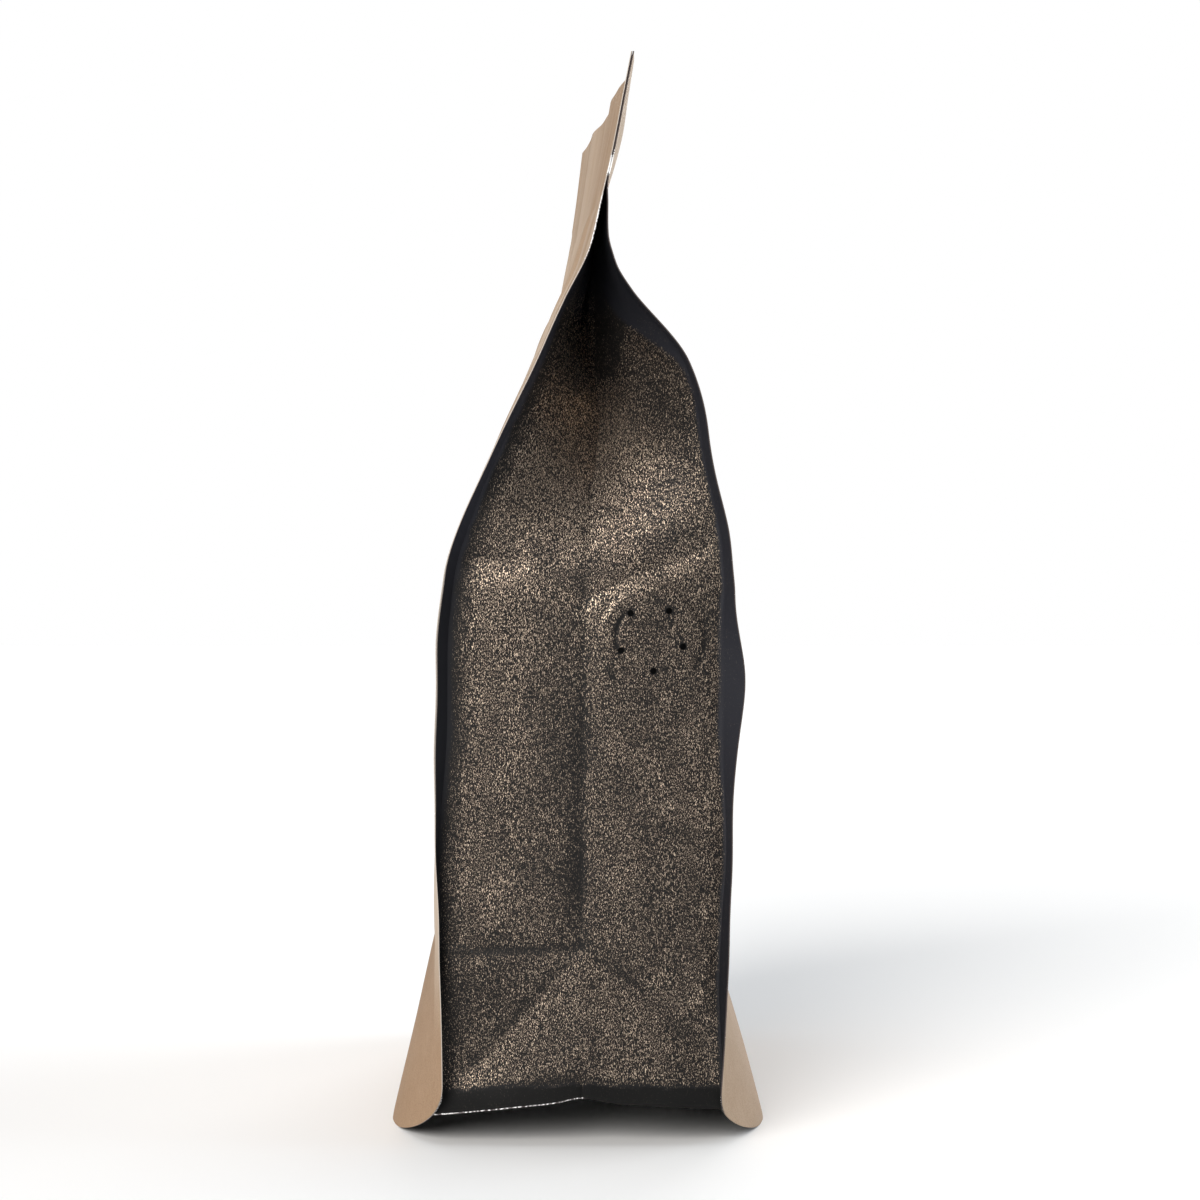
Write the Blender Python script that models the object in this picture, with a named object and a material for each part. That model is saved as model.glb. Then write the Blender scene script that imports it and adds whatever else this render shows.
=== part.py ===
"""A closed coffee bag with side gussets, standing on the skirts of its front and back panels.

+Z is up. The origin is the middle of the footprint, on the surface that the bag stands on.
The kraft front panel faces -Y, the kraft back panel +Y, and the black gussets face +X and -X.
The bag is shut and full, so the black gusseted pouch is one solid with its contents. The kraft
panels are sheets sealed to it along four fins, and a black tray closes the base behind the skirts.
The panels come together at the top and the top leans back, further at +X than at -X.
"""

import math

import bmesh
import bpy
from mathutils import Matrix

MM = 0.001

# The bag as a whole
WIDTH = 136.0 * MM
HEIGHT = 244.5 * MM
HALF_WIDTH = WIDTH / 2

# Layers, and the clearance kept between two of them
PANEL_THICKNESS = 0.4 * MM
FILM_THICKNESS = 0.3 * MM
CLEARANCE = 0.3 * MM
FILM_INSET = PANEL_THICKNESS + CLEARANCE

# Side view: where the front panel's +X edge lies, as (height, y) in millimetres
FRONT_EDGE = (
    (0.0, -30.2),
    (60.0, -30.8),
    (110.0, -31.3),
    (128.0, -29.8),
    (140.0, -26.0),
    (190.0, -2.2),
    (202.0, 3.2),
    (214.0, 5.6),
    (244.5, 12.0),
)

# How far apart the two panels' edges are, as (height, distance) in millimetres
SPREAD = (
    (0.0, 61.4),
    (34.0, 63.7),
    (88.0, 66.1),
    (124.0, 65.3),
    (160.0, 46.1),
    (176.0, 34.3),
    (192.0, 14.7),
    (204.0, 4.9),
    (214.0, 2.3),
    (244.5, 2.3),
)

# The twist: how far the -X edges lie towards the front of the +X edges at the top
TWIST = 12.5 * MM
TWIST_START = 118.0 * MM

# The contents push the panels out between the fins
BELLY = 5.0 * MM
BELLY_TOP = 216.0 * MM
BELLY_SHAPE = 0.6

# Skirts: the panels' lower ends flare outwards and have round corners
SKIRT_REACH = 44.0 * MM
SKIRT_HEIGHT = 38.0 * MM
SKIRT_SQUARENESS = 8
CORNER_RADIUS = 15.0 * MM

# Fins: the sealed strips along the four upright edges splay outwards
FIN_SPLAY = 2.4 * MM
FIN_SPLAY_START = 60.0 * MM
FIN_SPLAY_FULL = 95.0 * MM
FIN_SPLAY_END = 214.0 * MM

# One fin waves outwards beside the valve
WAVE_HEIGHT = 105.0 * MM
WAVE_SPREAD = 15.0 * MM
WAVE_REACH = 2.0 * MM

# Gussets: flat and a little pillowed below the shoulder, folded inwards above it
GUSSET_PILLOW = 2.4 * MM
GUSSET_HALF_WIDTH = 31.0 * MM
FOLD_START = 118.0 * MM
FOLD_FULL = 176.0 * MM
CREASE_SHARE = 0.49
CREASE_SHIFT = 0.2
CREASE_SHIFT_HEIGHT = 188.0 * MM
CREASE_SHIFT_SPREAD = 14.0 * MM

# Base: the tray's plate, and the arch of its lower edge under each gusset
BASE_HEIGHT = 16.0 * MM
BASE_SAG = 3.0 * MM
TRAY_LIFT = 0.3 * MM
ARCH_FOOT = 7.5 * MM
ARCH_HEIGHT = 12.0 * MM

# Tear notches in the fins, just under the top seal
NOTCH_HEIGHT = 219.7 * MM
NOTCH_RADIUS = 2.7 * MM
NOTCH_OVERHANG = 0.3 * MM

# Degassing valve behind the +X gusset film
VALVE_Y = 16.5 * MM
VALVE_Z = 114.3 * MM
VALVE_RADIUS = 11.5 * MM
VALVE_FLANGE = 0.8 * MM
VALVE_BOSS_RADIUS = 6.5 * MM
VALVE_BOSS = 1.2 * MM
VALVE_COVER = 1.2 * MM
PINHOLES = 5
PINHOLE_RADIUS = 0.65 * MM
PINHOLE_CIRCLE = 7.3 * MM
PINHOLE_TURN = math.radians(3.5)

# How finely the shapes are divided
FLAT_COLUMNS = 4
CORNER_COLUMNS = 4
SKIRT_ROWS = 3
WALL_ROWS = 27
GUSSET_COLUMNS = 8
PLATE_RINGS = 3
VALVE_STEPS = 32
SLOPE_STEP = 0.05 * MM


def clear_scene():
    """Removes every object that the scene starts with."""
    for thing in list(bpy.data.objects):
        bpy.data.objects.remove(thing, do_unlink=True)


def make_material(name, colour, roughness, metallic=0.0):
    material = bpy.data.materials.new(name)
    material.use_nodes = True
    shader = material.node_tree.nodes["Principled BSDF"]
    shader.inputs["Base Color"].default_value = (*colour, 1.0)
    shader.inputs["Roughness"].default_value = roughness
    shader.inputs["Metallic"].default_value = metallic
    return material


def smoothstep(value, start, end):
    """0 below start, 1 above end, with a level start and finish between."""
    share = min(max((value - start) / (end - start), 0.0), 1.0)
    return share * share * (3.0 - 2.0 * share)


def profile(knots, height):
    """y at a height, on a smooth line through the knots that overshoots none of them."""
    z = height / MM
    slopes = [(b[1] - a[1]) / (b[0] - a[0]) for a, b in zip(knots, knots[1:])]
    tangents = [slopes[0]]
    for before, after in zip(slopes, slopes[1:]):
        turns = before * after <= 0.0
        tangents.append(0.0 if turns else 2.0 * before * after / (before + after))
    tangents.append(slopes[-1])
    index = sum(knot[0] < z for knot in knots[1:-1])
    (z0, y0), (z1, y1) = knots[index], knots[index + 1]
    span = z1 - z0
    t = (z - z0) / span
    value = y0 + t * t * (3.0 - 2.0 * t) * (y1 - y0)
    value += t * (1.0 - t) * (1.0 - t) * span * tangents[index]
    value -= t * t * (1.0 - t) * span * tangents[index + 1]
    return value * MM


def fin_share(x):
    """0 on the panel, rising to 1 at the outer edge of a fin."""
    return max(0.0, (abs(x) - ROOT_X) / (HALF_WIDTH - ROOT_X))


def front_edge(z):
    return profile(FRONT_EDGE, z)


def back_edge(z):
    return front_edge(z) + profile(SPREAD, z)


def panel_y(outward, edge_line, x, z):
    """y of a panel's outer face. outward is -1 for the front panel and +1 for the back one."""
    edge = edge_line(z)
    edge -= TWIST * smoothstep(z, TWIST_START, HEIGHT) * (1.0 - x / HALF_WIDTH) / 2.0
    splay = smoothstep(z, FIN_SPLAY_START, FIN_SPLAY_FULL)
    splay *= 1.0 - smoothstep(z, FIN_SPLAY_FULL, FIN_SPLAY_END)
    crown = max(0.0, 1.0 - (x / ROOT_X) ** 2)
    swell = math.sin(math.pi * min(z / BELLY_TOP, 1.0))
    belly = BELLY * max(swell, 0.0) ** BELLY_SHAPE * crown
    rise = max(0.0, 1.0 - z / SKIRT_HEIGHT)
    flare = (SKIRT_REACH - abs(edge_line(0.0))) * rise
    flare *= 1.0 - abs(x / HALF_WIDTH) ** SKIRT_SQUARENESS
    return edge + outward * (belly + flare - FIN_SPLAY * splay * (1.0 - fin_share(x)))


def front_y(x, z):
    return panel_y(-1.0, front_edge, x, z)


def back_y(x, z):
    away = (z - WAVE_HEIGHT) / WAVE_SPREAD
    wave = WAVE_REACH * math.exp(-away * away) * fin_share(x) if x > 0.0 else 0.0
    return panel_y(1.0, back_edge, x, z) + wave


def inset(face, inward, x, z, distance):
    """The point at this height that lies a distance inside the panel's outer face."""
    by_x = (face(x + SLOPE_STEP, z) - face(x - SLOPE_STEP, z)) / (2.0 * SLOPE_STEP)
    by_z = (face(x, z + SLOPE_STEP) - face(x, z - SLOPE_STEP)) / (2.0 * SLOPE_STEP)
    reach = distance * math.sqrt(1.0 + by_x**2 + by_z**2) / (1.0 + by_x**2)
    return x - inward * by_x * reach, face(x, z) + inward * reach


def columns():
    """x of each column of a panel, from -X to +X, closer together over the round corners."""
    flat = HALF_WIDTH - CORNER_RADIUS
    right = [flat * i / FLAT_COLUMNS for i in range(1, FLAT_COLUMNS + 1)]
    for i in range(1, CORNER_COLUMNS + 1):
        right.append(flat + CORNER_RADIUS * math.sin(math.pi / 2 * i / CORNER_COLUMNS))
    return [-x for x in reversed(right)] + [0.0] + right


COLUMNS = columns()
ROOT_X = COLUMNS[-1 - CORNER_COLUMNS // 2]


def skirt_edge(x):
    """Height of a panel's lower edge, which rises in a quarter circle at each corner."""
    along = max(0.0, abs(x) - (HALF_WIDTH - CORNER_RADIUS))
    return CORNER_RADIUS - math.sqrt(max(0.0, CORNER_RADIUS**2 - along**2))


def wall_heights():
    step = (HEIGHT - BASE_HEIGHT) / WALL_ROWS
    return [BASE_HEIGHT + step * i for i in range(WALL_ROWS + 1)]


def panel_heights(x):
    """Heights down one column of a panel: the skirt's rows, then those of the wall."""
    low = skirt_edge(x)
    skirt = [low + (BASE_HEIGHT - low) * i / SKIRT_ROWS for i in range(SKIRT_ROWS)]
    return skirt + wall_heights()


def gusset_depth(z, half_span):
    """How far the middle of a gusset is folded in, less its pillow where it is full."""
    slack = math.sqrt(max(0.0, GUSSET_HALF_WIDTH**2 - half_span**2))
    return slack * smoothstep(z, FOLD_START, FOLD_FULL)


def crease_share(z):
    """Where the middle crease lies between the front edge, 0, and the back edge, 1."""
    away = (z - CREASE_SHIFT_HEIGHT) / CREASE_SHIFT_SPREAD
    return CREASE_SHARE - CREASE_SHIFT * math.exp(-away * away)


def gusset_line(side, z, front_root, back_root):
    """Points across a gusset at one height, between its two fin roots."""
    half_span = (back_root[1] - front_root[1]) / 2.0
    depth = gusset_depth(z, half_span)
    pillow = GUSSET_PILLOW * (1.0 - smoothstep(z, FOLD_START, FOLD_FULL))
    crease_x = front_root[0] - side * depth
    front_wall = inset(front_y, 1.0, crease_x, z, FILM_INSET + FILM_THICKNESS)[1]
    back_wall = inset(back_y, -1.0, crease_x, z, FILM_INSET + FILM_THICKNESS)[1]
    crease_y = front_wall + (back_wall - front_wall) * crease_share(z)
    points = []
    for i in range(1, GUSSET_COLUMNS):
        across = 2.0 * i / GUSSET_COLUMNS - 1.0
        root = front_root if across < 0.0 else back_root
        y = crease_y + (root[1] - crease_y) * abs(across)
        x = root[0] + (crease_x - root[0]) * (1.0 - abs(across))
        points.append((x + side * pillow * (1.0 - across * across), y))
    return points


def fin_line(face, inward, side, z, distance):
    """The points of a fin's layer from its root to its outer edge."""
    outer = [side * x for x in COLUMNS if x >= ROOT_X]
    return [inset(face, inward, x, z, distance) for x in outer]


def pouch_ring(z):
    """The pouch's outline at one height, with the film's layer on all four fins."""
    film = FILM_INSET + FILM_THICKNESS
    ring = [inset(front_y, 1.0, x, z, FILM_INSET) for x in COLUMNS]
    for side, first, second in ((1.0, "front", "back"), (-1.0, "back", "front")):
        fins = {
            "front": fin_line(front_y, 1.0, side, z, film),
            "back": fin_line(back_y, -1.0, side, z, film),
        }
        across = gusset_line(side, z, fins["front"][0], fins["back"][0])
        ring += list(reversed(fins[first]))
        ring += across if side > 0.0 else list(reversed(across))
        ring += fins[second]
        if side > 0.0:
            ring += [inset(back_y, -1.0, x, z, FILM_INSET) for x in reversed(COLUMNS)]
    return ring


def tray_ring(z):
    """The tray's outline at one height: each point with the height of the lower edge there."""
    inner = [x for x in COLUMNS if abs(x) <= ROOT_X]
    ring = [(inset(front_y, 1.0, x, z, FILM_INSET), skirt_edge(x)) for x in inner]
    for side in (1.0, -1.0):
        front_root = inset(front_y, 1.0, side * ROOT_X, z, FILM_INSET)
        back_root = inset(back_y, -1.0, side * ROOT_X, z, FILM_INSET)
        line = gusset_line(side, BASE_HEIGHT, front_root, back_root)
        arch = []
        for i, point in enumerate(line, start=1):
            across = 2.0 * i / GUSSET_COLUMNS - 1.0
            edge = ARCH_FOOT + (ARCH_HEIGHT - ARCH_FOOT) * (1.0 - across * across)
            arch.append((point, edge))
        ring += arch if side > 0.0 else list(reversed(arch))
        if side > 0.0:
            backwards = list(reversed(inner))
            ring += [(inset(back_y, -1.0, x, z, FILM_INSET), skirt_edge(x)) for x in backwards]
    return ring


def link_mesh(name, mesh_builder, material):
    """Makes a bmesh into an object of that name."""
    mesh = bpy.data.meshes.new(name)
    mesh_builder.to_mesh(mesh)
    mesh_builder.free()
    mesh.materials.append(material)
    thing = bpy.data.objects.new(name, mesh)
    bpy.context.scene.collection.objects.link(thing)
    return thing


def add_cell(builder, low, next_low, next_high, high):
    """Two triangles that always meet along the same diagonal, so that facing layers match."""
    builder.faces.new((low, next_low, next_high))
    builder.faces.new((low, next_high, high))


def join_rings(builder, lower, upper):
    """Faces between two closed rings of vertices that have the same number of points."""
    for i in range(len(lower)):
        after = (i + 1) % len(lower)
        add_cell(builder, lower[i], lower[after], upper[after], upper[i])


def make_panel(name, face, inward, material):
    """A kraft panel: one closed sheet from the skirt's edge to the top.

    Its columns run the same way as the pouch's outline does along it.
    """
    builder = bmesh.new()
    layers = []
    for distance in (0.0, PANEL_THICKNESS):
        grid = []
        for x in COLUMNS if inward > 0.0 else reversed(COLUMNS):
            column = []
            for z in panel_heights(x):
                px, py = inset(face, inward, x, z, distance)
                column.append(builder.verts.new((px, py, z)))
            grid.append(column)
        layers.append(grid)
    for grid in layers:
        for this, after in zip(grid, grid[1:]):
            for row in range(len(this) - 1):
                add_cell(builder, this[row], after[row], after[row + 1], this[row + 1])
    rims = []
    for grid in layers:
        rim = [column[0] for column in grid] + grid[-1][1:]
        rim += [column[-1] for column in reversed(grid[:-1])] + list(reversed(grid[0][1:-1]))
        rims.append(rim)
    join_rings(builder, *rims)
    bmesh.ops.recalc_face_normals(builder, faces=builder.faces)
    return link_mesh(name, builder, material)


def make_pouch(name, material):
    """The black pouch with its contents: rings of its outline, closed at both ends."""
    builder = bmesh.new()
    rings = []
    for z in wall_heights():
        rings.append([builder.verts.new((x, y, z)) for x, y in pouch_ring(z)])
    for lower, upper in zip(rings, rings[1:]):
        join_rings(builder, lower, upper)
    builder.faces.new(rings[0])
    builder.faces.new(rings[-1])
    bmesh.ops.recalc_face_normals(builder, faces=builder.faces)
    return link_mesh(name, builder, material)


def make_tray(name, material):
    """The base: a sagging plate whose rim turns down behind the skirts and under the gussets."""
    builder = bmesh.new()
    top = BASE_HEIGHT - CLEARANCE
    rim = tray_ring(top)
    rings = []
    for step in range(1, PLATE_RINGS + 1):
        share = step / PLATE_RINGS
        z = top - BASE_SAG * (1.0 - share * share)
        rings.append([builder.verts.new((x * share, y * share, z)) for (x, y), _ in rim])
    for row in range(1, SKIRT_ROWS + 1):
        share = row / SKIRT_ROWS
        ring = []
        for index, (_, edge) in enumerate(rim):
            low = max(edge, TRAY_LIFT)
            z = top + (low - top) * share
            x, y = tray_ring(z)[index][0]
            ring.append(builder.verts.new((x, y, z)))
        rings.append(ring)
    for inner, outer in zip(rings, rings[1:]):
        join_rings(builder, inner, outer)
    middle = builder.faces.new(list(reversed(rings[0])))
    bmesh.ops.recalc_face_normals(builder, faces=builder.faces)
    if middle.normal.z < 0.0:
        bmesh.ops.reverse_faces(builder, faces=builder.faces)
    tray = link_mesh(name, builder, material)
    wall = tray.modifiers.new("wall", "SOLIDIFY")
    wall.thickness = FILM_THICKNESS
    wall.offset = -1.0
    wall.use_even_offset = True
    return tray


def valve_frame():
    """The valve's place: its origin on the film's outer face and its Z axis square to it."""
    film = FILM_INSET + FILM_THICKNESS
    front_root = inset(front_y, 1.0, ROOT_X, VALVE_Z, film)
    back_root = inset(back_y, -1.0, ROOT_X, VALVE_Z, film)
    line = gusset_line(1.0, VALVE_Z, front_root, back_root)
    before = max((p for p in line if p[1] <= VALVE_Y), key=lambda p: p[1])
    after = min((p for p in line if p[1] > VALVE_Y), key=lambda p: p[1])
    slope = (after[0] - before[0]) / (after[1] - before[1])
    x = before[0] + slope * (VALVE_Y - before[1])
    turn = Matrix.Rotation(-math.atan(slope), 4, "Z") @ Matrix.Rotation(math.pi / 2, 4, "Y")
    return Matrix.Translation((x, VALVE_Y, VALVE_Z)) @ turn


def make_valve(name, frame, material):
    """The valve: a turned disc with a boss on the side that faces into the bag."""
    builder = bmesh.new()
    top = -VALVE_COVER - CLEARANCE
    flange = top - VALVE_FLANGE
    boss = flange - VALVE_BOSS
    outline = (
        (0.0, top),
        (VALVE_RADIUS, top),
        (VALVE_RADIUS, flange),
        (VALVE_BOSS_RADIUS, flange),
        (VALVE_BOSS_RADIUS, boss),
        (0.0, boss),
    )
    points = [builder.verts.new((r, 0.0, z)) for r, z in outline]
    edges = [builder.edges.new(pair) for pair in zip(points, points[1:])]
    bmesh.ops.spin(
        builder,
        geom=points + edges,
        cent=(0.0, 0.0, 0.0),
        axis=(0.0, 0.0, 1.0),
        angle=math.tau,
        steps=VALVE_STEPS,
        use_merge=True,
    )
    bmesh.ops.remove_doubles(builder, verts=builder.verts, dist=0.001 * MM)
    bmesh.ops.recalc_face_normals(builder, faces=builder.faces)
    valve = link_mesh(name, builder, material)
    valve.matrix_world = frame
    valve.data.shade_smooth()
    valve.data.set_sharp_from_angle(angle=math.radians(30.0))
    return valve


def make_cutter(name, radius, depth, matrix, segments):
    """A cylinder that only cuts, centred on the matrix's origin along its Z axis."""
    builder = bmesh.new()
    bmesh.ops.create_cone(
        builder,
        cap_ends=True,
        segments=segments,
        radius1=radius,
        radius2=radius,
        depth=depth,
        matrix=matrix,
    )
    mesh = bpy.data.meshes.new(name)
    builder.to_mesh(mesh)
    builder.free()
    cutter = bpy.data.objects.new(name, mesh)
    bpy.context.scene.collection.objects.link(cutter)
    cutter.hide_render = True
    cutter.display_type = "WIRE"
    return cutter


def cut(thing, cutter):
    modifier = thing.modifiers.new(cutter.name, "BOOLEAN")
    modifier.operation = "DIFFERENCE"
    modifier.object = cutter
    modifier.solver = "EXACT"


def notch_cutters():
    """One cylinder across each side edge, through all the layers."""
    cutters = []
    for side, name in ((1.0, "notch_right"), (-1.0, "notch_left")):
        place = Matrix.Translation((side * (HALF_WIDTH + NOTCH_OVERHANG), 0.0, NOTCH_HEIGHT))
        turned = place @ Matrix.Rotation(math.pi / 2, 4, "X")
        cutters.append(make_cutter(name, NOTCH_RADIUS, 2.0 * SKIRT_REACH, turned, 12))
    return cutters


def valve_cutters(frame):
    """The pocket that holds the valve, and the pinholes that lead out of it."""
    depth = VALVE_FLANGE + VALVE_BOSS + 2.0 * CLEARANCE
    middle = Matrix.Translation((0.0, 0.0, -VALVE_COVER - depth / 2.0))
    radius = VALVE_RADIUS + CLEARANCE
    cutters = [make_cutter("valve_pocket", radius, depth, frame @ middle, VALVE_STEPS)]
    for i in range(PINHOLES):
        angle = PINHOLE_TURN + math.tau * i / PINHOLES
        across = (PINHOLE_CIRCLE * math.cos(angle), PINHOLE_CIRCLE * math.sin(angle), 0.0)
        place = frame @ Matrix.Translation(across)
        length = 2.0 * (VALVE_COVER + CLEARANCE)
        cutters.append(make_cutter(f"pinhole_{i + 1}", PINHOLE_RADIUS, length, place, 8))
    return cutters


def main():
    clear_scene()
    kraft = make_material("kraft_paper", (0.42, 0.28, 0.18), 0.8)
    kraft_back = make_material("kraft_paper_back", (0.42, 0.30, 0.20), 0.8)
    black = make_material("black_film", (0.02, 0.02, 0.022), 0.5)
    base = make_material("black_base_film", (0.02, 0.02, 0.02), 0.5)
    plastic = make_material("valve_plastic", (0.75, 0.75, 0.74), 0.4)
    front = make_panel("front_panel", front_y, 1.0, kraft)
    back = make_panel("back_panel", back_y, -1.0, kraft_back)
    pouch = make_pouch("gusseted_pouch", black)
    make_tray("bottom_panel", base)
    frame = valve_frame()
    make_valve("degassing_valve", frame, plastic)
    for notch in notch_cutters():
        for layer in (front, back, pouch):
            cut(layer, notch)
    for cutter in valve_cutters(frame):
        cut(pouch, cutter)


main()
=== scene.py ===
"""Looks of a closed coffee bag: kraft panels, black grained gussets, base film, valve and studio.

The bag's form is one set of functions of place, held by BagForm. Every layer is read from it:
a layer is the outer face of a kraft panel, moved inwards by the layers that lie outside it.
"""

import logging
import math
from collections.abc import Callable, Sequence
from dataclasses import dataclass
from enum import Enum, IntEnum

import bpy
import numpy as np
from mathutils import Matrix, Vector


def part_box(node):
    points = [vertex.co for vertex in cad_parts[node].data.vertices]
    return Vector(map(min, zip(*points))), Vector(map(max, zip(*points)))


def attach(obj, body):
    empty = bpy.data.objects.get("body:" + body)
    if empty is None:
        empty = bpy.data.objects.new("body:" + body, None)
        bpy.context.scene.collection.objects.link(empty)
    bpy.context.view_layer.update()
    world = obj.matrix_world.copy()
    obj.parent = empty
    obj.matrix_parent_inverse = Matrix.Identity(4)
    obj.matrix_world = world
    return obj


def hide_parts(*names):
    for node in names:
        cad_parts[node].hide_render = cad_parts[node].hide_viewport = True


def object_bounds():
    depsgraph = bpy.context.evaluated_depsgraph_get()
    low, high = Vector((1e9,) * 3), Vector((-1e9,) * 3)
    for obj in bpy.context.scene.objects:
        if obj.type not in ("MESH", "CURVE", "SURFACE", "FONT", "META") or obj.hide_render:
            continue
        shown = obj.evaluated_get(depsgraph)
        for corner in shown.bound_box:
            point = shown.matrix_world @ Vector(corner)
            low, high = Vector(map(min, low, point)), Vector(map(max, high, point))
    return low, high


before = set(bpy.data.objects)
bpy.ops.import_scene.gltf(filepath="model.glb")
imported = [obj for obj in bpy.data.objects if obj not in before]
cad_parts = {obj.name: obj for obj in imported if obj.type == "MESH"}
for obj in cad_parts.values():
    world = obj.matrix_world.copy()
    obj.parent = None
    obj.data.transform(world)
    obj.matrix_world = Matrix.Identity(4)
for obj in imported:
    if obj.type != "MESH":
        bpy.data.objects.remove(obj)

CAD_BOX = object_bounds()
MM = 0.001
Array = np.ndarray
Knots = tuple[tuple[float, float], ...]
Colour = tuple[float, float, float]
log = logging.getLogger("coffee_bag")


class Face(IntEnum):
    """The kraft panel that a layer belongs to, as the sign of y of its outer face."""

    FRONT = -1
    BACK = 1


class Side(IntEnum):
    """The gusset that a piece belongs to, as the sign of x of its outer face."""

    VALVE = 1
    PLAIN = -1


class Layer(IntEnum):
    """Material places of a film or panel: its two faces and the cut edge between them."""

    OUTER = 0
    INNER = 1
    EDGE = 2


# ---------------------------------------------------------------- numbers and curves


def smoothstep(value: Array | float, start: float, end: float) -> Array:
    """A level start at 0 and a level finish at 1, by the cubic 3t² - 2t³.

    Args:
        value: Where to read the step.
        start: The value at which it leaves 0.
        end: The value at which it reaches 1.

    Returns:
        The step at each value.
    """
    share = np.clip((np.asarray(value, float) - start) / (end - start), 0.0, 1.0)
    return share * share * (3.0 - 2.0 * share)


def bell(value: Array, middle: float, spread: float) -> Array:
    """A bell exp(-d²), where d is the distance from the middle in spreads."""
    away = (value - middle) / spread
    return np.exp(-away * away)


def through(knots: Knots, value: Array | float) -> Array:
    """A smooth line through the knots that overshoots none of them.

    Each piece is a cubic, and the slope at a knot is the harmonic mean of those beside it.

    Args:
        knots: Pairs of a place and the value there, in millimetres.
        value: Places to read, in metres.

    Returns:
        The line's values, in metres.
    """
    at, height = np.array(knots, float).T
    z = np.asarray(value, float) / MM
    slope = np.diff(height) / np.diff(at)
    turning = slope[:-1] * slope[1:] <= 0.0
    total = np.where(turning, 1.0, slope[:-1] + slope[1:])
    inner = np.where(turning, 0.0, 2.0 * slope[:-1] * slope[1:] / total)
    tangent = np.concatenate([slope[:1], inner, slope[-1:]])
    index = np.clip(np.searchsorted(at, z) - 1, 0, len(at) - 2)
    span = np.diff(at)[index]
    t = (z - at[index]) / span
    rise = t * t * (3.0 - 2.0 * t)
    line = height[index] + rise * (height[index + 1] - height[index])
    line = line + t * (1.0 - t) ** 2 * span * tangent[index]
    line = line - t * t * (1.0 - t) * span * tangent[index + 1]
    return line * MM


def spaced(low: float, high: float, count: int, density: Callable[[Array], Array]) -> Array:
    """Places from low to high whose spacing is the inverse of a density.

    The density is summed along the way, and the places lie at even steps of that sum.

    Args:
        low: The first place.
        high: The last place.
        count: How many places.
        density: Relative number of places per metre, as a function of place.

    Returns:
        The places, in rising order.
    """
    fine = np.linspace(low, high, 4000)
    total = np.concatenate([[0.0], np.cumsum(density(0.5 * (fine[1:] + fine[:-1])))])
    return np.interp(np.linspace(0.0, total[-1], count), total, fine)


@dataclass(frozen=True)
class Lumps:
    """Soft random relief: lattice values blended by a fifth-order step in both directions."""

    seed: int
    size: float

    def at(self, u: Array, v: Array) -> Array:
        """Relief between -1 and 1.

        Args:
            u: First coordinate, in metres.
            v: Second coordinate, in metres.

        Returns:
            The relief at each pair.
        """
        lattice = np.random.default_rng(self.seed).uniform(-1.0, 1.0, (97, 97))
        a, b = np.broadcast_arrays(u / self.size + 31.7, v / self.size + 17.3)
        i, j = np.floor(a).astype(int), np.floor(b).astype(int)
        s, t = a - i, b - j
        s = s**3 * (s * (6.0 * s - 15.0) + 10.0)
        t = t**3 * (t * (6.0 * t - 15.0) + 10.0)
        low = lattice[i % 97, j % 97] * (1.0 - s) + lattice[(i + 1) % 97, j % 97] * s
        high = lattice[i % 97, (j + 1) % 97] * (1.0 - s) + lattice[(i + 1) % 97, (j + 1) % 97] * s
        return low * (1.0 - t) + high * t


@dataclass(frozen=True)
class Crease:
    """A folded line in a gusset: a groove with a sharp bottom and two soft shoulders."""

    start: tuple[float, float]
    end: tuple[float, float]
    depth: float
    widths: tuple[float, float]
    fade: float = 4.0

    def at(self, y: Array, z: Array) -> Array:
        """Outward displacement, -depth·exp(-d/width), faded over the line's two ends.

        Args:
            y: Places across the gusset, in metres.
            z: Heights, in metres.

        Returns:
            The displacement in metres, negative along the groove.
        """
        (y0, z0), (y1, z1) = self.start, self.end
        dy, dz = y1 - y0, z1 - z0
        length = math.hypot(dy, dz)
        across_y, across_z = y / MM - y0, z / MM - z0
        along = (across_y * dy + across_z * dz) / length
        away = (across_z * dy - across_y * dz) / length
        width = np.where(away > 0.0, self.widths[0], self.widths[1])
        fade = smoothstep(along, -self.fade, self.fade)
        fade = fade * (1.0 - smoothstep(along, length - self.fade, length + self.fade))
        return -self.depth * MM * np.exp(-np.abs(away) / width) * fade


@dataclass(frozen=True)
class Patch:
    """A soft patch of painted light on a gusset's flecks; painted shade where its gain is below 0."""

    middle: tuple[float, float]
    reach: tuple[float, float]
    turn: float
    gain: float

    def at(self, y: Array, z: Array) -> Array:
        """Gain times exp(-d²), with d the distance in reaches along and across the patch.

        Args:
            y: Places across the gusset, in metres.
            z: Heights, in metres.

        Returns:
            The change of tone.
        """
        across, up = y / MM - self.middle[0], z / MM - self.middle[1]
        angle = math.radians(self.turn)
        along = (across * math.cos(angle) + up * math.sin(angle)) / self.reach[0]
        aside = (up * math.cos(angle) - across * math.sin(angle)) / self.reach[1]
        return self.gain * np.exp(-along * along - aside * aside)


@dataclass(frozen=True)
class Stroke:
    """A dark stroke in the film: part of a circle about the valve, in millimetres and degrees."""

    radius: float
    width: float
    middle: float
    span: float
    gain: float

    def at(self, away: Array, turn: Array) -> Array:
        """Gain times a bell across the circle, over a flatter bell round it."""
        off = (turn - self.middle + 180.0) % 360.0 - 180.0
        return self.gain * np.exp(-((away - self.radius) / self.width) ** 2 - (off / self.span) ** 4)


# ---------------------------------------------------------------- the bag's form


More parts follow.
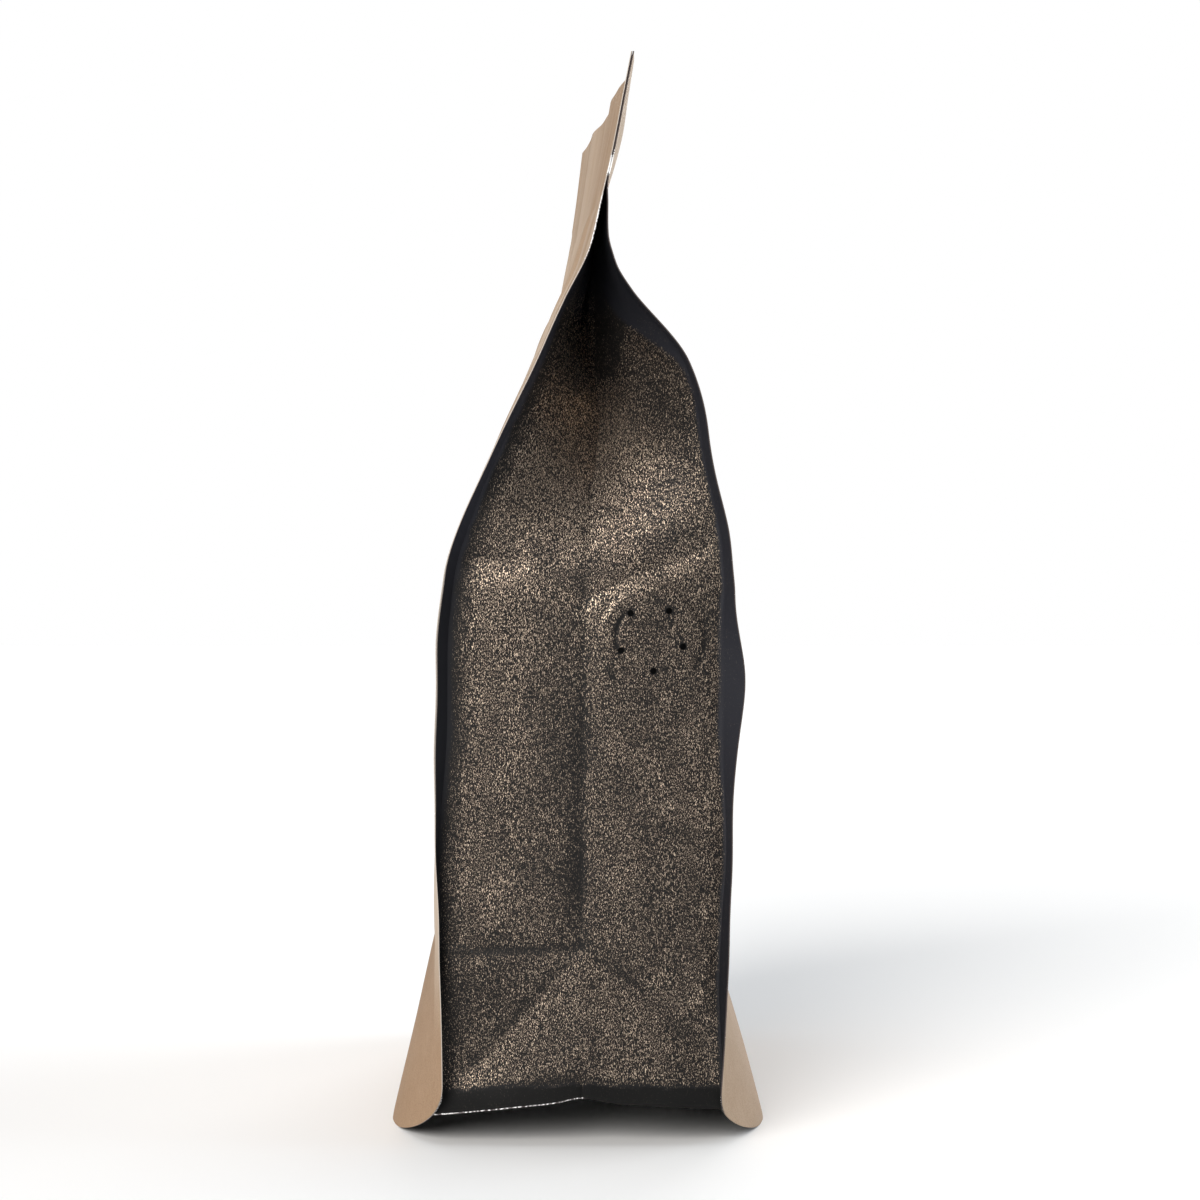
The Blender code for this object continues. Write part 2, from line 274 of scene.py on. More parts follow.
@dataclass(frozen=True)
class BagForm:
    """The closed bag's shape as functions of x across it and z up it, in metres."""

    half_width: float
    height: float
    skirt_reach: float
    front_edge_knots: Knots = (
        (0.0, -30.2), (22.0, -30.4), (60.0, -31.5), (90.0, -31.9), (110.0, -31.7), (128.0, -29.8),
        (140.0, -26.0), (190.0, -2.2), (202.0, 3.4), (214.0, 6.1), (244.5, 12.5),
    )
    spread_knots: Knots = (
        (0.0, 61.4), (34.0, 64.1), (88.0, 66.9), (124.0, 65.4), (160.0, 46.1), (176.0, 34.3),
        (192.0, 13.9), (198.0, 7.4), (204.0, 3.6), (211.0, 1.9), (217.0, 0.7), (244.5, 0.7),
    )
    twist_knots: Knots = (
        (118.0, 0.0), (160.0, 3.2), (190.0, 7.9), (203.0, 9.6), (212.0, 10.1), (229.0, 11.1),
        (244.5, 12.4),
    )
    curl_knots: Knots = (
        (204.0, 0.0), (216.0, 0.5), (228.0, 1.2), (236.0, 0.75), (244.5, 0.35),
    )
    arch_knots: Knots = (
        (-31.0, 6.5), (-17.5, 8.6), (-5.0, 10.1), (0.6, 11.2), (9.0, 9.9), (31.5, 8.3),
    )
    corner_reach: float = 26.0 * MM
    corner_rise: float = 14.0 * MM
    corner_power: float = 1.8
    flare_start: float = 34.0 * MM
    flare_power: float = 1.7
    fin_width: float = 4.39 * MM
    curl_x: float = 54.0 * MM
    curl_spread: float = 9.0 * MM
    belly: tuple[float, float] = (2.6 * MM, 3.2 * MM)
    belly_top: float = 216.0 * MM
    front_shoulder: float = 0.55
    lean_out: float = 2.4 * MM
    front_tuck: tuple[float, float, float] = (-1.0 * MM, 46.0 * MM, 26.0 * MM)
    back_spread: tuple[float, float, float] = (1.6 * MM, 40.0 * MM, 34.0 * MM)
    wave_height: float = 2.5 * MM
    wave_middle: float = 105.0 * MM
    wave_spread: float = 13.0 * MM
    skirt_height: tuple[float, float] = (46.0 * MM, 34.0 * MM)
    seal_start: float = 214.0 * MM
    top_bow: float = 1.2 * MM
    flute: float = 0.55 * MM
    flute_length: float = 52.0 * MM
    panel_thickness: float = 0.18 * MM
    film_thickness: float = 0.10 * MM
    gusset_half: float = 31.0 * MM
    fold_start: float = 118.0 * MM
    fold_full: float = 176.0 * MM
    pillow: float = 2.4 * MM
    notch_height: float = 219.7 * MM
    notch_radius: float = 2.7 * MM
    notch_overhang: float = 0.3 * MM
    dents: tuple[Lumps, Lumps] = (Lumps(11, 19.0 * MM), Lumps(23, 8.5 * MM))

    @classmethod
    def from_frame(cls) -> "BagForm":
        """The form that fills the frame's box.

        Returns:
            The form with its height, width and reach read from the frame.
        """
        low, high = CAD_BOX
        panel_low, panel_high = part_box("front_panel")
        width = panel_high[0] - panel_low[0]
        return cls(
            half_width=width / 2.0 - 0.2 * MM,
            height=high[2] - low[2],
            skirt_reach=high[1],
        )

    @property
    def root_x(self) -> float:
        """Where a fin leaves the panel."""
        return self.half_width - self.fin_width

    @property
    def film_inset(self) -> float:
        """From a panel's outer face to the visible face of the film behind it."""
        return self.panel_thickness + self.film_thickness + 0.01 * MM

    def fin_share(self, x: Array) -> Array:
        """0 on the panel, rising to 1 at the outer edge of a fin."""
        return np.clip((np.abs(x) - self.root_x) / self.fin_width, 0.0, 1.0)

    def skirt_edge(self, x: Array) -> Array:
        """Height of a panel's lower edge: level, then a full-bodied quarter curve at a corner."""
        along = (np.abs(x) - (self.half_width - self.corner_reach)) / self.corner_reach
        inside = 1.0 - np.clip(along, 0.0, 1.0) ** self.corner_power
        return self.corner_rise * (1.0 - inside ** (1.0 / self.corner_power))

    def side_edge(self, z: Array) -> Array:
        """x of a panel's upright edge, with the round tear notch cut out of it."""
        inside = np.clip(self.notch_radius**2 - (z - self.notch_height) ** 2, 0.0, None)
        bite = np.clip(np.sqrt(inside) - self.notch_overhang, 0.0, None)
        return self.half_width - bite

    def fin_lean(self, face: Face, z: Array) -> Array:
        """How far a fin's outer edge stands outside its root, less where it curls back in."""
        size, middle, spread = self.front_tuck if face is Face.FRONT else self.back_spread
        lean = self.lean_out * smoothstep(z, 60.0 * MM, 95.0 * MM) + size * bell(z, middle, spread)
        return lean * (1.0 - smoothstep(z, 95.0 * MM, self.seal_start))

    def fin_wave(self, face: Face, x: Array, z: Array) -> Array:
        """Slow waves along a fin's outer edge, with the large one beside the valve."""
        phase = 5.0 if face is Face.FRONT else 2.0
        small = 0.16 * MM * np.sin(z / (9.3 * MM) + phase + np.sign(x))
        small = small + 0.1 * MM * np.sin(z / (3.9 * MM) + 2.0 * phase)
        small = small * smoothstep(z, 18.0 * MM, 60.0 * MM)
        small = small * (1.0 - smoothstep(z, 190.0 * MM, 212.0 * MM))
        large = bell(z, self.wave_middle, self.wave_spread) * (x > 0.0) * (face is Face.BACK)
        return small + self.wave_height * large

    def flutes(self, x: Array, z: Array) -> Array:
        """The bow, ripples and curled end of the top seal, which fade out down the neck."""
        ripple = np.cos(2.0 * math.pi * (x - 39.5 * MM) / self.flute_length)
        ripple = ripple + 0.25 * np.cos(2.0 * math.pi * x / (21.0 * MM) + 1.0)
        ripple = ripple * smoothstep(x, -self.half_width, -0.62 * self.half_width)
        rising = smoothstep(z, 188.0 * MM, self.height)
        bow = self.top_bow * (1.0 - (x / self.half_width) ** 2)
        curl = through(self.curl_knots, np.maximum(z, self.curl_knots[0][0] * MM))
        return (self.flute * ripple + bow) * rising + curl * bell(x, self.curl_x, self.curl_spread)

    def panel_y(self, face: Face, x: Array, z: Array) -> Array:
        """y of a panel's outer face.

        The side line gives the fins' edges, and between them come the belly of the full
        bag, the flare of the skirt, the lean of the fins, and the dents of the contents.

        Args:
            face: Which panel.
            x: Places across the bag.
            z: Heights.

        Returns:
            y at each place.
        """
        edge = through(self.front_edge_knots, z)
        rest = abs(self.front_edge_knots[0][1]) * MM
        if face is Face.BACK:
            edge = edge + through(self.spread_knots, z)
            rest = (self.front_edge_knots[0][1] + self.spread_knots[0][1]) * MM
        low = np.maximum(z, self.twist_knots[0][0] * MM)
        edge = edge - through(self.twist_knots, low) * (1.0 - x / self.half_width) / 2.0
        crown = np.clip(1.0 - (x / self.root_x) ** 2, 0.0, None)
        swell = np.clip(np.sin(math.pi * np.clip(z / self.belly_top, 0.0, 1.0)), 0.0, None)
        belly = self.belly[face > 0] * (swell + 1e-9) ** 0.6 * crown
        if face is Face.FRONT:
            belly = belly * (1.0 + self.front_shoulder * smoothstep(z, 92.0 * MM, 145.0 * MM))
        rise = np.clip(1.0 - z / self.skirt_height[face > 0], 0.0, None)
        flare = (self.skirt_reach - rest) * rise
        outward = (np.abs(x) - self.flare_start) / (self.half_width - self.flare_start)
        flare = flare * (1.0 - np.clip(outward, 0.0, 1.0) ** self.flare_power)
        share = self.fin_share(x)
        fin = self.fin_lean(face, z) * (share - 1.0) + self.fin_wave(face, x, z) * share
        full = smoothstep(z, 22.0 * MM, 60.0 * MM) * (1.0 - smoothstep(z, 185.0 * MM, 210.0 * MM))
        neck = smoothstep(z, 160.0 * MM, 190.0 * MM) * (1.0 - smoothstep(z, 206.0 * MM, 226.0 * MM))
        edge = edge + 0.7 * MM * neck * self.dents[1].at(1.3 * x, 0.2 * z)
        soft = crown * full * (0.55 * self.dents[0].at(x + 0.3 * face, z))
        soft = soft + crown * full * 0.16 * self.dents[1].at(x, z + 0.2 * face)
        return edge + face * (belly + flare + fin + soft * MM) + self.flutes(x, z)

    def inset(self, face: Face, x: Array, z: Array, distance: float) -> tuple[Array, Array]:
        """Points at the same heights that lie a distance inside a panel's outer face.

        The face's slopes give its normal, and the point moves level along it until it is
        the distance away from the face.

        Args:
            face: Which panel.
            x: Places across the bag.
            z: Heights.
            distance: How far inside the outer face.

        Returns:
            x and y of the points.
        """
        step = 0.05 * MM
        by_x = (self.panel_y(face, x + step, z) - self.panel_y(face, x - step, z)) / (2 * step)
        by_z = (self.panel_y(face, x, z + step) - self.panel_y(face, x, z - step)) / (2 * step)
        reach = distance * np.sqrt(1.0 + by_x**2 + by_z**2) / (1.0 + by_x**2)
        return x + face * by_x * reach, self.panel_y(face, x, z) - face * reach

    def bare_foil_and_glint(self, face: Array | Face, x: Array, z: Array) -> Array:
        """How much foil a cut edge shows, painted near white as its glint: all in the notch, and
        specks below it in front.
        """
        notch = bell(z, self.notch_height, 2.0 * MM)
        below = bell(z, 207.0 * MM, 9.0 * MM) * (np.asarray(face) < 0)
        return np.clip(np.maximum(1.6 * notch, 0.62 * below), 0.0, 1.0) * (np.abs(x) > self.root_x)

    def arch(self, y: Array) -> Array:
        """Height of a gusset's lower edge."""
        return through(self.arch_knots, np.clip(y, -31.0 * MM, 31.5 * MM))

    def crease_share(self, z: Array) -> Array:
        """Where a gusset's middle crease lies between the front wall, 0, and the back, 1."""
        return 0.49 - 0.2 * bell(z, 188.0 * MM, 14.0 * MM)


# ---------------------------------------------------------------- meshes


def closed_sheet(outer: Array, inner: Array, keep: Array | None = None) -> tuple[Array, Array, Array]:
    """Two grids of points made into one closed shell.

    Every kept cell gives a face on each grid. Every side of a kept cell that has no kept
    cell beyond it, at the border or round a hole, gives a face between the grids.

    Args:
        outer: Points of the outer face, columns by rows by 3.
        inner: Points of the inner face, in the same places.
        keep: Which cells are there, or None for all of them.

    Returns:
        The points, the faces as quads, and each face's Layer.
    """
    wide, high = outer.shape[:2]
    if keep is None:
        keep = np.ones((wide - 1, high - 1), bool)
    number = np.arange(wide * high).reshape(wide, high)
    a, b = number[:-1, :-1][keep], number[1:, :-1][keep]
    c, d = number[1:, 1:][keep], number[:-1, 1:][keep]
    count = wide * high
    faces = [np.stack([a, b, c, d], 1), np.stack([d, c, b, a], 1) + count]
    padded = np.pad(keep, 1)
    inside = padded[1:-1, 1:-1]
    sides = (
        (padded[1:-1, :-2], number[:-1, :-1], number[1:, :-1]),
        (padded[2:, 1:-1], number[1:, :-1], number[1:, 1:]),
        (padded[1:-1, 2:], number[1:, 1:], number[:-1, 1:]),
        (padded[:-2, 1:-1], number[:-1, 1:], number[:-1, :-1]),
    )
    rims = []
    for beyond, first, second in sides:
        open_side = inside & ~beyond
        p, q = first[open_side], second[open_side]
        rims.append(np.stack([q, p, p + count, q + count], 1))
    rim = np.concatenate(rims)
    layers = np.repeat([Layer.OUTER, Layer.INNER, Layer.EDGE], [len(a), len(a), len(rim)])
    points = np.concatenate([outer.reshape(-1, 3), inner.reshape(-1, 3)])
    return points, np.concatenate(faces + [rim]), layers


def grid_normals(points: Array) -> Array:
    """Unit normals of a grid of points: the cross product of its two directions."""
    across = np.gradient(points, axis=0)
    up = np.gradient(points, axis=1)
    normal = np.cross(across, up)
    return normal / np.maximum(np.linalg.norm(normal, axis=2, keepdims=True), 1e-12)


@dataclass
class Piece:
    """One finished object of the bag and how it joins the frame."""

    name: str
    nodes: tuple[str, ...]
    slot: str
    materials: list[bpy.types.Material]
    sharp: float = 40.0

    def build(self, points: Array, faces: Array, layers: Array | None = None,
              values: dict[str, Array] | None = None,
              triangles: Array | None = None) -> bpy.types.Object:
        """Makes the object, leaving out points that no face uses.

        Args:
            points: Points in metres.
            faces: Quads as numbers of points.
            layers: Each face's material place, or None for the first.
            values: Named values for each point, for the materials to read.
            triangles: Further faces of three corners.

        Returns:
            The object, riding on the frame.
        """
        if triangles is None:
            triangles = np.zeros((0, 3), int)
        used = np.unique(np.concatenate([faces.ravel(), triangles.ravel()]))
        renumbered = np.zeros(len(points), int)
        renumbered[used] = np.arange(len(used))
        mesh = bpy.data.meshes.new(self.name)
        corners = renumbered[faces].tolist() + renumbered[triangles].tolist()
        mesh.from_pydata(points[used].tolist(), [], corners)
        for material in self.materials:
            mesh.materials.append(material)
        if layers is not None:
            mesh.polygons.foreach_set("material_index", layers.astype(np.int32))
        for key, value in (values or {}).items():
            attribute = mesh.attributes.new(key, "FLOAT", "POINT")
            attribute.data.foreach_set("value", value[used].astype(np.float32))
        mesh.validate()
        mesh.shade_smooth()
        mesh.set_sharp_from_angle(angle=math.radians(self.sharp))
        made = bpy.data.objects.new(self.name, mesh)
        bpy.context.scene.collection.objects.link(made)
        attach(made, "root")
        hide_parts(*self.nodes)
        log.info("%s: %d faces", self.name, len(faces))
        return made


# ---------------------------------------------------------------- shader helpers


class Nodes:
    """Adds nodes to one node tree, in as few words as can be."""

    def __init__(self, tree: bpy.types.NodeTree) -> None:
        """Keeps the tree that the nodes go into."""
        self.tree = tree

    def add(self, kind: str, inputs: dict[str | int, object] | None = None,
            **settings: object) -> bpy.types.Node:
        """Adds a node.

        Args:
            kind: The node's type, without the word ShaderNode.
            inputs: Values for its inputs, or sockets to link to them, by name or number.
            **settings: The node's own properties.

        Returns:
            The node.
        """
        node = self.tree.nodes.new("ShaderNode" + kind)
        for key, value in settings.items():
            setattr(node, key, value)
        for key, value in (inputs or {}).items():
            if isinstance(value, bpy.types.NodeSocket):
                self.tree.links.new(value, node.inputs[key])
            else:
                node.inputs[key].default_value = value
        return node

    def math(self, operation: str, first: object, second: object = 0.0,
             clamp: bool = False) -> bpy.types.NodeSocket:
        """The result of one sum, as a socket."""
        node = self.add("Math", {0: first, 1: second}, operation=operation, use_clamp=clamp)
        return node.outputs[0]

    def band(self, value: object, low: float, high: float, to_low: float = 0.0,
             to_high: float = 1.0) -> bpy.types.NodeSocket:
        """A value's range stretched to another range, and clamped to it."""
        inputs = {0: value, 1: low, 2: high, 3: to_low, 4: to_high}
        return self.add("MapRange", inputs).outputs[0]

    def blend(self, share: object, first: object, second: object,
              mode: str = "MIX") -> bpy.types.NodeSocket:
        """Two colours mixed by a share."""
        node = self.add("Mix", data_type="RGBA", blend_type=mode)
        for key, value in ((0, share), (6, first), (7, second)):
            if isinstance(value, bpy.types.NodeSocket):
                self.tree.links.new(value, node.inputs[key])
            elif key == 0:
                node.inputs[key].default_value = value
            else:
                node.inputs[key].default_value = (*value, 1.0)
        return node.outputs[2]

    def noise(self, place: bpy.types.NodeSocket, size: Sequence[float], detail: float = 2.0,
              roughness: float = 0.5, turn: float = 0.0) -> bpy.types.NodeSocket:
        """Noise whose grains have a size in metres along x, y and z.

        Args:
            place: Coordinates in metres.
            size: Size of a grain along each axis.
            detail: Octaves of finer noise.
            roughness: Strength of the finer octaves.
            turn: Rotation about y, in radians.

        Returns:
            The noise, from 0 to 1.
        """
        scale = tuple(1.0 / length for length in size)
        inputs = {"Vector": place, "Rotation": (0.0, turn, 0.0), "Scale": scale}
        mapped = self.add("Mapping", inputs)
        inputs = {"Vector": mapped.outputs[0], "Scale": 1.0, "Detail": detail,
                  "Roughness": roughness}
        return self.add("TexNoise", inputs).outputs[0]

    def end(self, which: str) -> bpy.types.Node:
        """A group's Input or Output node."""
        return self.tree.nodes.new("NodeGroup" + which)


class SharedGroup(Enum):
    """The shader node groups that several materials use."""

    GRAIN = "Fleck grain"
    FIBRES = "Paper fibres"
    CLOUD = "Soft clouding"


class GroupLibrary:
    """Builds each shared node group once."""

    def __init__(self) -> None:
        """Starts with no groups."""
        self.groups: dict[SharedGroup, bpy.types.NodeTree] = {}

    def get(self, kind: SharedGroup) -> bpy.types.NodeTree:
        """The group of that kind, built when it is first asked for.

        Args:
            kind: Which group.

        Returns:
            Its node tree.
        """
        if kind not in self.groups:
            makers = {
                SharedGroup.GRAIN: self.make_grain,
                SharedGroup.FIBRES: self.make_fibres,
                SharedGroup.CLOUD: self.make_cloud,
            }
            self.groups[kind] = makers[kind](kind.value)
        return self.groups[kind]

    @staticmethod
    def start(name: str, inputs: dict[str, float], outputs: Sequence[str]) -> tuple[
            Nodes, bpy.types.Node, bpy.types.Node]:
        """An empty group with its sockets.

        Args:
            name: The group's name.
            inputs: Its number inputs and their defaults. All groups read a Place too.
            outputs: Names of its number outputs.

        Returns:
            The group's nodes, its input node and its output node.
        """
        tree = bpy.data.node_groups.new(name, "ShaderNodeTree")
        tree.interface.new_socket("Place", in_out="INPUT", socket_type="NodeSocketVector")
        for key, value in inputs.items():
            socket = tree.interface.new_socket(key, in_out="INPUT", socket_type="NodeSocketFloat")
            socket.default_value = value
        for key in outputs:
            tree.interface.new_socket(key, in_out="OUTPUT", socket_type="NodeSocketFloat")
        nodes = Nodes(tree)
        return nodes, nodes.end("Input"), nodes.end("Output")

    def make_grain(self, name: str) -> bpy.types.NodeTree:
        """Upright flecks: fine stretched noise, cut at a level to give a mask.

        The relief is the same noise, so that each fleck is tilted its own way and catches
        the light by itself.
        """
        nodes, inlet, outlet = self.start(name, {"Level": 0.5, "Softness": 0.08},
                                          ("Fleck", "Relief"))
        place = inlet.outputs["Place"]
        coarse = nodes.noise(place, (1.2 * MM, 0.18 * MM, 0.55 * MM), 1.0, 0.6)
        fine = nodes.noise(place, (0.8 * MM, 0.11 * MM, 0.27 * MM), 0.0, 0.5)
        total = nodes.math("ADD", nodes.math("MULTIPLY", coarse, 0.55),
                           nodes.math("MULTIPLY", fine, 0.45))
        low = nodes.math("SUBTRACT", inlet.outputs["Level"], inlet.outputs["Softness"])
        high = nodes.math("ADD", inlet.outputs["Level"], inlet.outputs["Softness"])
        ramp = nodes.add("MapRange", {0: total, 1: low, 2: high})
        nodes.tree.links.new(ramp.outputs[0], outlet.inputs["Fleck"])
        nodes.tree.links.new(total, outlet.inputs["Relief"])
        return nodes.tree

    def make_fibres(self, name: str) -> bpy.types.NodeTree:
        """Paper fibres: fine streaks laid in three directions, and a fine tooth."""
        nodes, inlet, outlet = self.start(name, {"Strength": 1.0}, ("Streak", "Tooth"))
        place = inlet.outputs["Place"]
        streaks = None
        for turn in (0.2, 1.15, 2.3):
            size = (0.22 * MM, 0.5 * MM, 2.6 * MM)
            layer = nodes.noise(place, size, 2.0, 0.55, turn)
            streaks = layer if streaks is None else nodes.math("ADD", streaks, layer)
        streaks = nodes.band(streaks, 1.1, 1.95)
        tooth = nodes.noise(place, (0.3 * MM,) * 3, 2.0, 0.6)
        nodes.tree.links.new(nodes.math("MULTIPLY", streaks, inlet.outputs["Strength"]),
                             outlet.inputs["Streak"])
        nodes.tree.links.new(tooth, outlet.inputs["Tooth"])
        return nodes.tree

    def make_cloud(self, name: str) -> bpy.types.NodeTree:
        """Soft clouding: slow noise for patches of tone and wear."""
        nodes, inlet, outlet = self.start(name, {"Contrast": 1.0}, ("Cloud",))
        place = inlet.outputs["Place"]
        slow = nodes.noise(place, (14.0 * MM,) * 3, 3.0, 0.55)
        quick = nodes.noise(place, (4.0 * MM, 4.0 * MM, 5.5 * MM), 2.0, 0.5)
        both = nodes.math("ADD", nodes.math("MULTIPLY", slow, 0.65),
                          nodes.math("MULTIPLY", quick, 0.35))
        away = nodes.math("MULTIPLY", nodes.math("SUBTRACT", both, 0.5),
                          inlet.outputs["Contrast"])
        nodes.tree.links.new(nodes.math("ADD", away, 0.5, clamp=True), outlet.inputs["Cloud"])
        return nodes.tree


LIBRARY = GroupLibrary()


@dataclass(frozen=True)
class Finish:
    """What every finish has: a name, and the numbers that are the same all over it."""

    name: str
    specular: float = 0.5

    def begin(self) -> tuple[bpy.types.Material, Nodes, bpy.types.Node, bpy.types.NodeSocket]:
        """A new material.

        Returns:
            The material, its nodes, its Principled node and the place coordinates.
        """
        material = bpy.data.materials.new(self.name)
        material.use_nodes = True
        nodes = Nodes(material.node_tree)
        shader = material.node_tree.nodes["Principled BSDF"]
        shader.inputs["Specular IOR Level"].default_value = self.specular
        place = nodes.add("TexCoord").outputs["Object"]
        return material, nodes, shader, place

    @staticmethod
    def group(nodes: Nodes, kind: SharedGroup, place: bpy.types.NodeSocket,
              **inputs: float) -> bpy.types.Node:
        """Places a shared group in a material, with its own values."""
        node = nodes.tree.nodes.new("ShaderNodeGroup")
        node.node_tree = LIBRARY.get(kind)
        nodes.tree.links.new(place, node.inputs["Place"])
        for key, value in inputs.items():
            node.inputs[key].default_value = value
        return node


@dataclass(frozen=True)
class KraftPaper(Finish):
    """Uncoated brown paper: fibres, clouding and a soft tooth."""

    colour: Colour = (0.308, 0.195, 0.112)
    light: Colour = (0.41, 0.28, 0.182)
    dark: Colour = (0.222, 0.136, 0.074)
    # The pale colour is in part creased paper's paling and in part painted highlight.
    pale: Colour = (0.6, 0.51, 0.42)

    def make(self) -> bpy.types.Material:
        """Builds the material.

        Returns:
            The kraft paper.
        """
        material, nodes, shader, place = self.begin()
        fibres = self.group(nodes, SharedGroup.FIBRES, place, Strength=1.0)
        cloud = self.group(nodes, SharedGroup.CLOUD, place, Contrast=1.6)
        tone = nodes.blend(nodes.math("MULTIPLY", fibres.outputs["Streak"], 0.75),
                           self.colour, self.light)
        tooth = nodes.band(fibres.outputs["Tooth"], 0.42, 0.68, 0.0, 0.7)
        tone = nodes.blend(tooth, tone, self.dark)
        patch = nodes.band(cloud.outputs["Cloud"], 0.2, 0.8, 0.0, 0.28)
        tone = nodes.blend(patch, tone, self.dark)
        # The attribute below paints paler paper: creased paper's paling, and a painted highlight in
        # the neck and on the front fins.
        crease_pale_and_highlight = nodes.add("Attribute", attribute_name="crease_pale_and_highlight").outputs["Fac"]
        tone = nodes.blend(crease_pale_and_highlight, tone, self.pale)
        links = nodes.tree.links
        links.new(tone, shader.inputs["Base Color"])
        links.new(nodes.band(cloud.outputs["Cloud"], 0.0, 1.0, 0.68, 0.86),
                  shader.inputs["Roughness"])
        relief = nodes.math("ADD", fibres.outputs["Streak"], fibres.outputs["Tooth"])
        bump = nodes.add("Bump", {"Height": relief, "Strength": 0.22, "Distance": 0.05 * MM})
        links.new(bump.outputs[0], shader.inputs["Normal"])
        return material


@dataclass(frozen=True)
class GrainedFilm(Finish):
    """Matt black film with upright metallic flecks, smooth and plain at its seals; painted light and
    shade vary its flecks and its plain parts.
    """

    ground: Colour = (0.0055, 0.005, 0.005)
    fleck: Colour = (0.47, 0.362, 0.28)
    glint: Colour = (0.98, 0.82, 0.63)
    # The next two colours paint light and shade on the plain film: the first, bluish grey, carries a
    # painted reflection; the second, near black, is painted shade.
    seal: Colour = (0.028, 0.029, 0.0385)
    shaded_seal: Colour = (0.001, 0.001, 0.001)
    levels: tuple[float, float] = (0.586, 0.655)
    level_swing: float = 0.035
    softness: float = 0.034
    seal_cover: float = 0.94
    gloss: float = 0.4
    tilt: float = 0.35

    def make(self) -> bpy.types.Material:
        """Builds the material.

        Returns:
            The film.
        """
        material, nodes, shader, place = self.begin()
        seal_and_shade = nodes.add("Attribute", attribute_name="seal_and_shade").outputs["Fac"]
        # The tone and shade attributes carry painted light and shade: tone for the flecks, shade for
        # the plain film.
        painted_light = nodes.add("Attribute", attribute_name="tone").outputs["Fac"]
        shade = nodes.add("Attribute", attribute_name="shade").outputs["Fac"]
        masks = []
        for level in self.levels:
            layer = self.group(nodes, SharedGroup.GRAIN, place, Softness=self.softness)
            swing = nodes.band(painted_light, 0.0, 2.0, level + self.level_swing, level - self.level_swing)
            nodes.tree.links.new(swing, layer.inputs["Level"])
            masks.append(layer)
        grain, peak = masks
        cloud = self.group(nodes, SharedGroup.CLOUD, place, Contrast=2.4)
        film = nodes.band(cloud.outputs["Cloud"], 0.1, 0.9, 0.75, 1.0)
        film = nodes.math("MULTIPLY", film, painted_light, clamp=True)
        covered = nodes.band(seal_and_shade, 0.0, 1.0, 0.0, self.seal_cover)
        open_film = nodes.math("MULTIPLY", film, nodes.math("SUBTRACT", 1.0, covered))
        amount = nodes.math("MULTIPLY", grain.outputs["Fleck"], open_film)
        tone = nodes.blend(amount, self.ground, self.fleck)
        tone = nodes.blend(nodes.math("MULTIPLY", peak.outputs["Fleck"], film), tone, self.glint)
        plain = nodes.blend(shade, self.shaded_seal, self.seal)
        tone = nodes.blend(covered, tone, plain)
        links = nodes.tree.links
        links.new(tone, shader.inputs["Base Color"])
        links.new(amount, shader.inputs["Metallic"])
        rough = nodes.band(amount, 0.0, 1.0, 0.6, self.gloss)
        links.new(rough, shader.inputs["Roughness"])
        bump = nodes.add("Bump", {"Height": grain.outputs["Relief"],
                                  "Distance": 0.12 * MM})
        links.new(nodes.band(seal_and_shade, 0.0, 1.0, self.tilt, 0.12), bump.inputs["Strength"])
        links.new(bump.outputs[0], shader.inputs["Normal"])
        return material


@dataclass(frozen=True)
class CloudedFinish(Finish):
    """A plain finish: soft clouding in its tone and gloss, and a fine relief."""

    shade: Colour = (0.013, 0.013, 0.014)
    colour: Colour = (0.03, 0.029, 0.028)
    contrast: float = 2.0
    metallic: float = 0.0
    roughness: tuple[float, float] = (0.45, 0.65)
    relief_size: float = 0.4 * MM
    relief_octaves: tuple[float, float] = (2.0, 0.5)
    relief_strength: float = 0.15
    relief_depth: float = 0.05 * MM

    def make(self) -> bpy.types.Material:
        """Builds the material.

        Returns:
            The finish.
        """
        material, nodes, shader, place = self.begin()
        cloud = self.group(nodes, SharedGroup.CLOUD, place, Contrast=self.contrast).outputs["Cloud"]
        links = nodes.tree.links
        links.new(nodes.blend(cloud, self.shade, self.colour), shader.inputs["Base Color"])
        shader.inputs["Metallic"].default_value = self.metallic
        links.new(nodes.band(cloud, 0.0, 1.0, *self.roughness), shader.inputs["Roughness"])
        if self.relief_strength > 0.0:
            height = nodes.noise(place, (self.relief_size,) * 3, *self.relief_octaves)
            bump = nodes.add("Bump", {"Height": height, "Strength": self.relief_strength,
                                      "Distance": self.relief_depth})
            links.new(bump.outputs[0], shader.inputs["Normal"])
        return material


@dataclass(frozen=True)
class CutEdge(Finish):
    """The cut edge of a laminate: dull, with foil where the laminate is torn or cut, painted
    near white as its glint.
    """

    dull: Colour = (0.62, 0.55, 0.48)
    # The foil colour is near white, not metal: a painted glint of the bare foil.
    foil: Colour = (0.95, 0.95, 0.95)
    share: float = 0.25

    def make(self) -> bpy.types.Material:
        """Builds the material.

        Returns:
            The cut edge.
        """
        material, nodes, shader, place = self.begin()
        fibres = self.group(nodes, SharedGroup.FIBRES, place, Strength=1.0)
        torn = nodes.add("Attribute", attribute_name="foil_and_glint").outputs["Fac"]
        speck = nodes.noise(place, (0.4 * MM, 0.4 * MM, 0.5 * MM), 2.0, 0.6)
        total = nodes.math("ADD", speck, nodes.math("MULTIPLY", torn, 0.5))
        edge = 0.8 - 0.3 * self.share
        foil_and_glint = nodes.band(total, edge - 0.03, edge + 0.03)
        shade = tuple(0.6 * part for part in self.dull)
        tone = nodes.blend(fibres.outputs["Tooth"], shade, self.dull)
        links = nodes.tree.links
        links.new(nodes.blend(foil_and_glint, tone, self.foil), shader.inputs["Base Color"])
        links.new(nodes.band(foil_and_glint, 0.0, 1.0, 0.75, 0.4), shader.inputs["Roughness"])
        bump = nodes.add("Bump", {"Height": speck, "Strength": 0.3, "Distance": 0.1 * MM})
        links.new(bump.outputs[0], shader.inputs["Normal"])
        return material


# ---------------------------------------------------------------- pieces of the bag


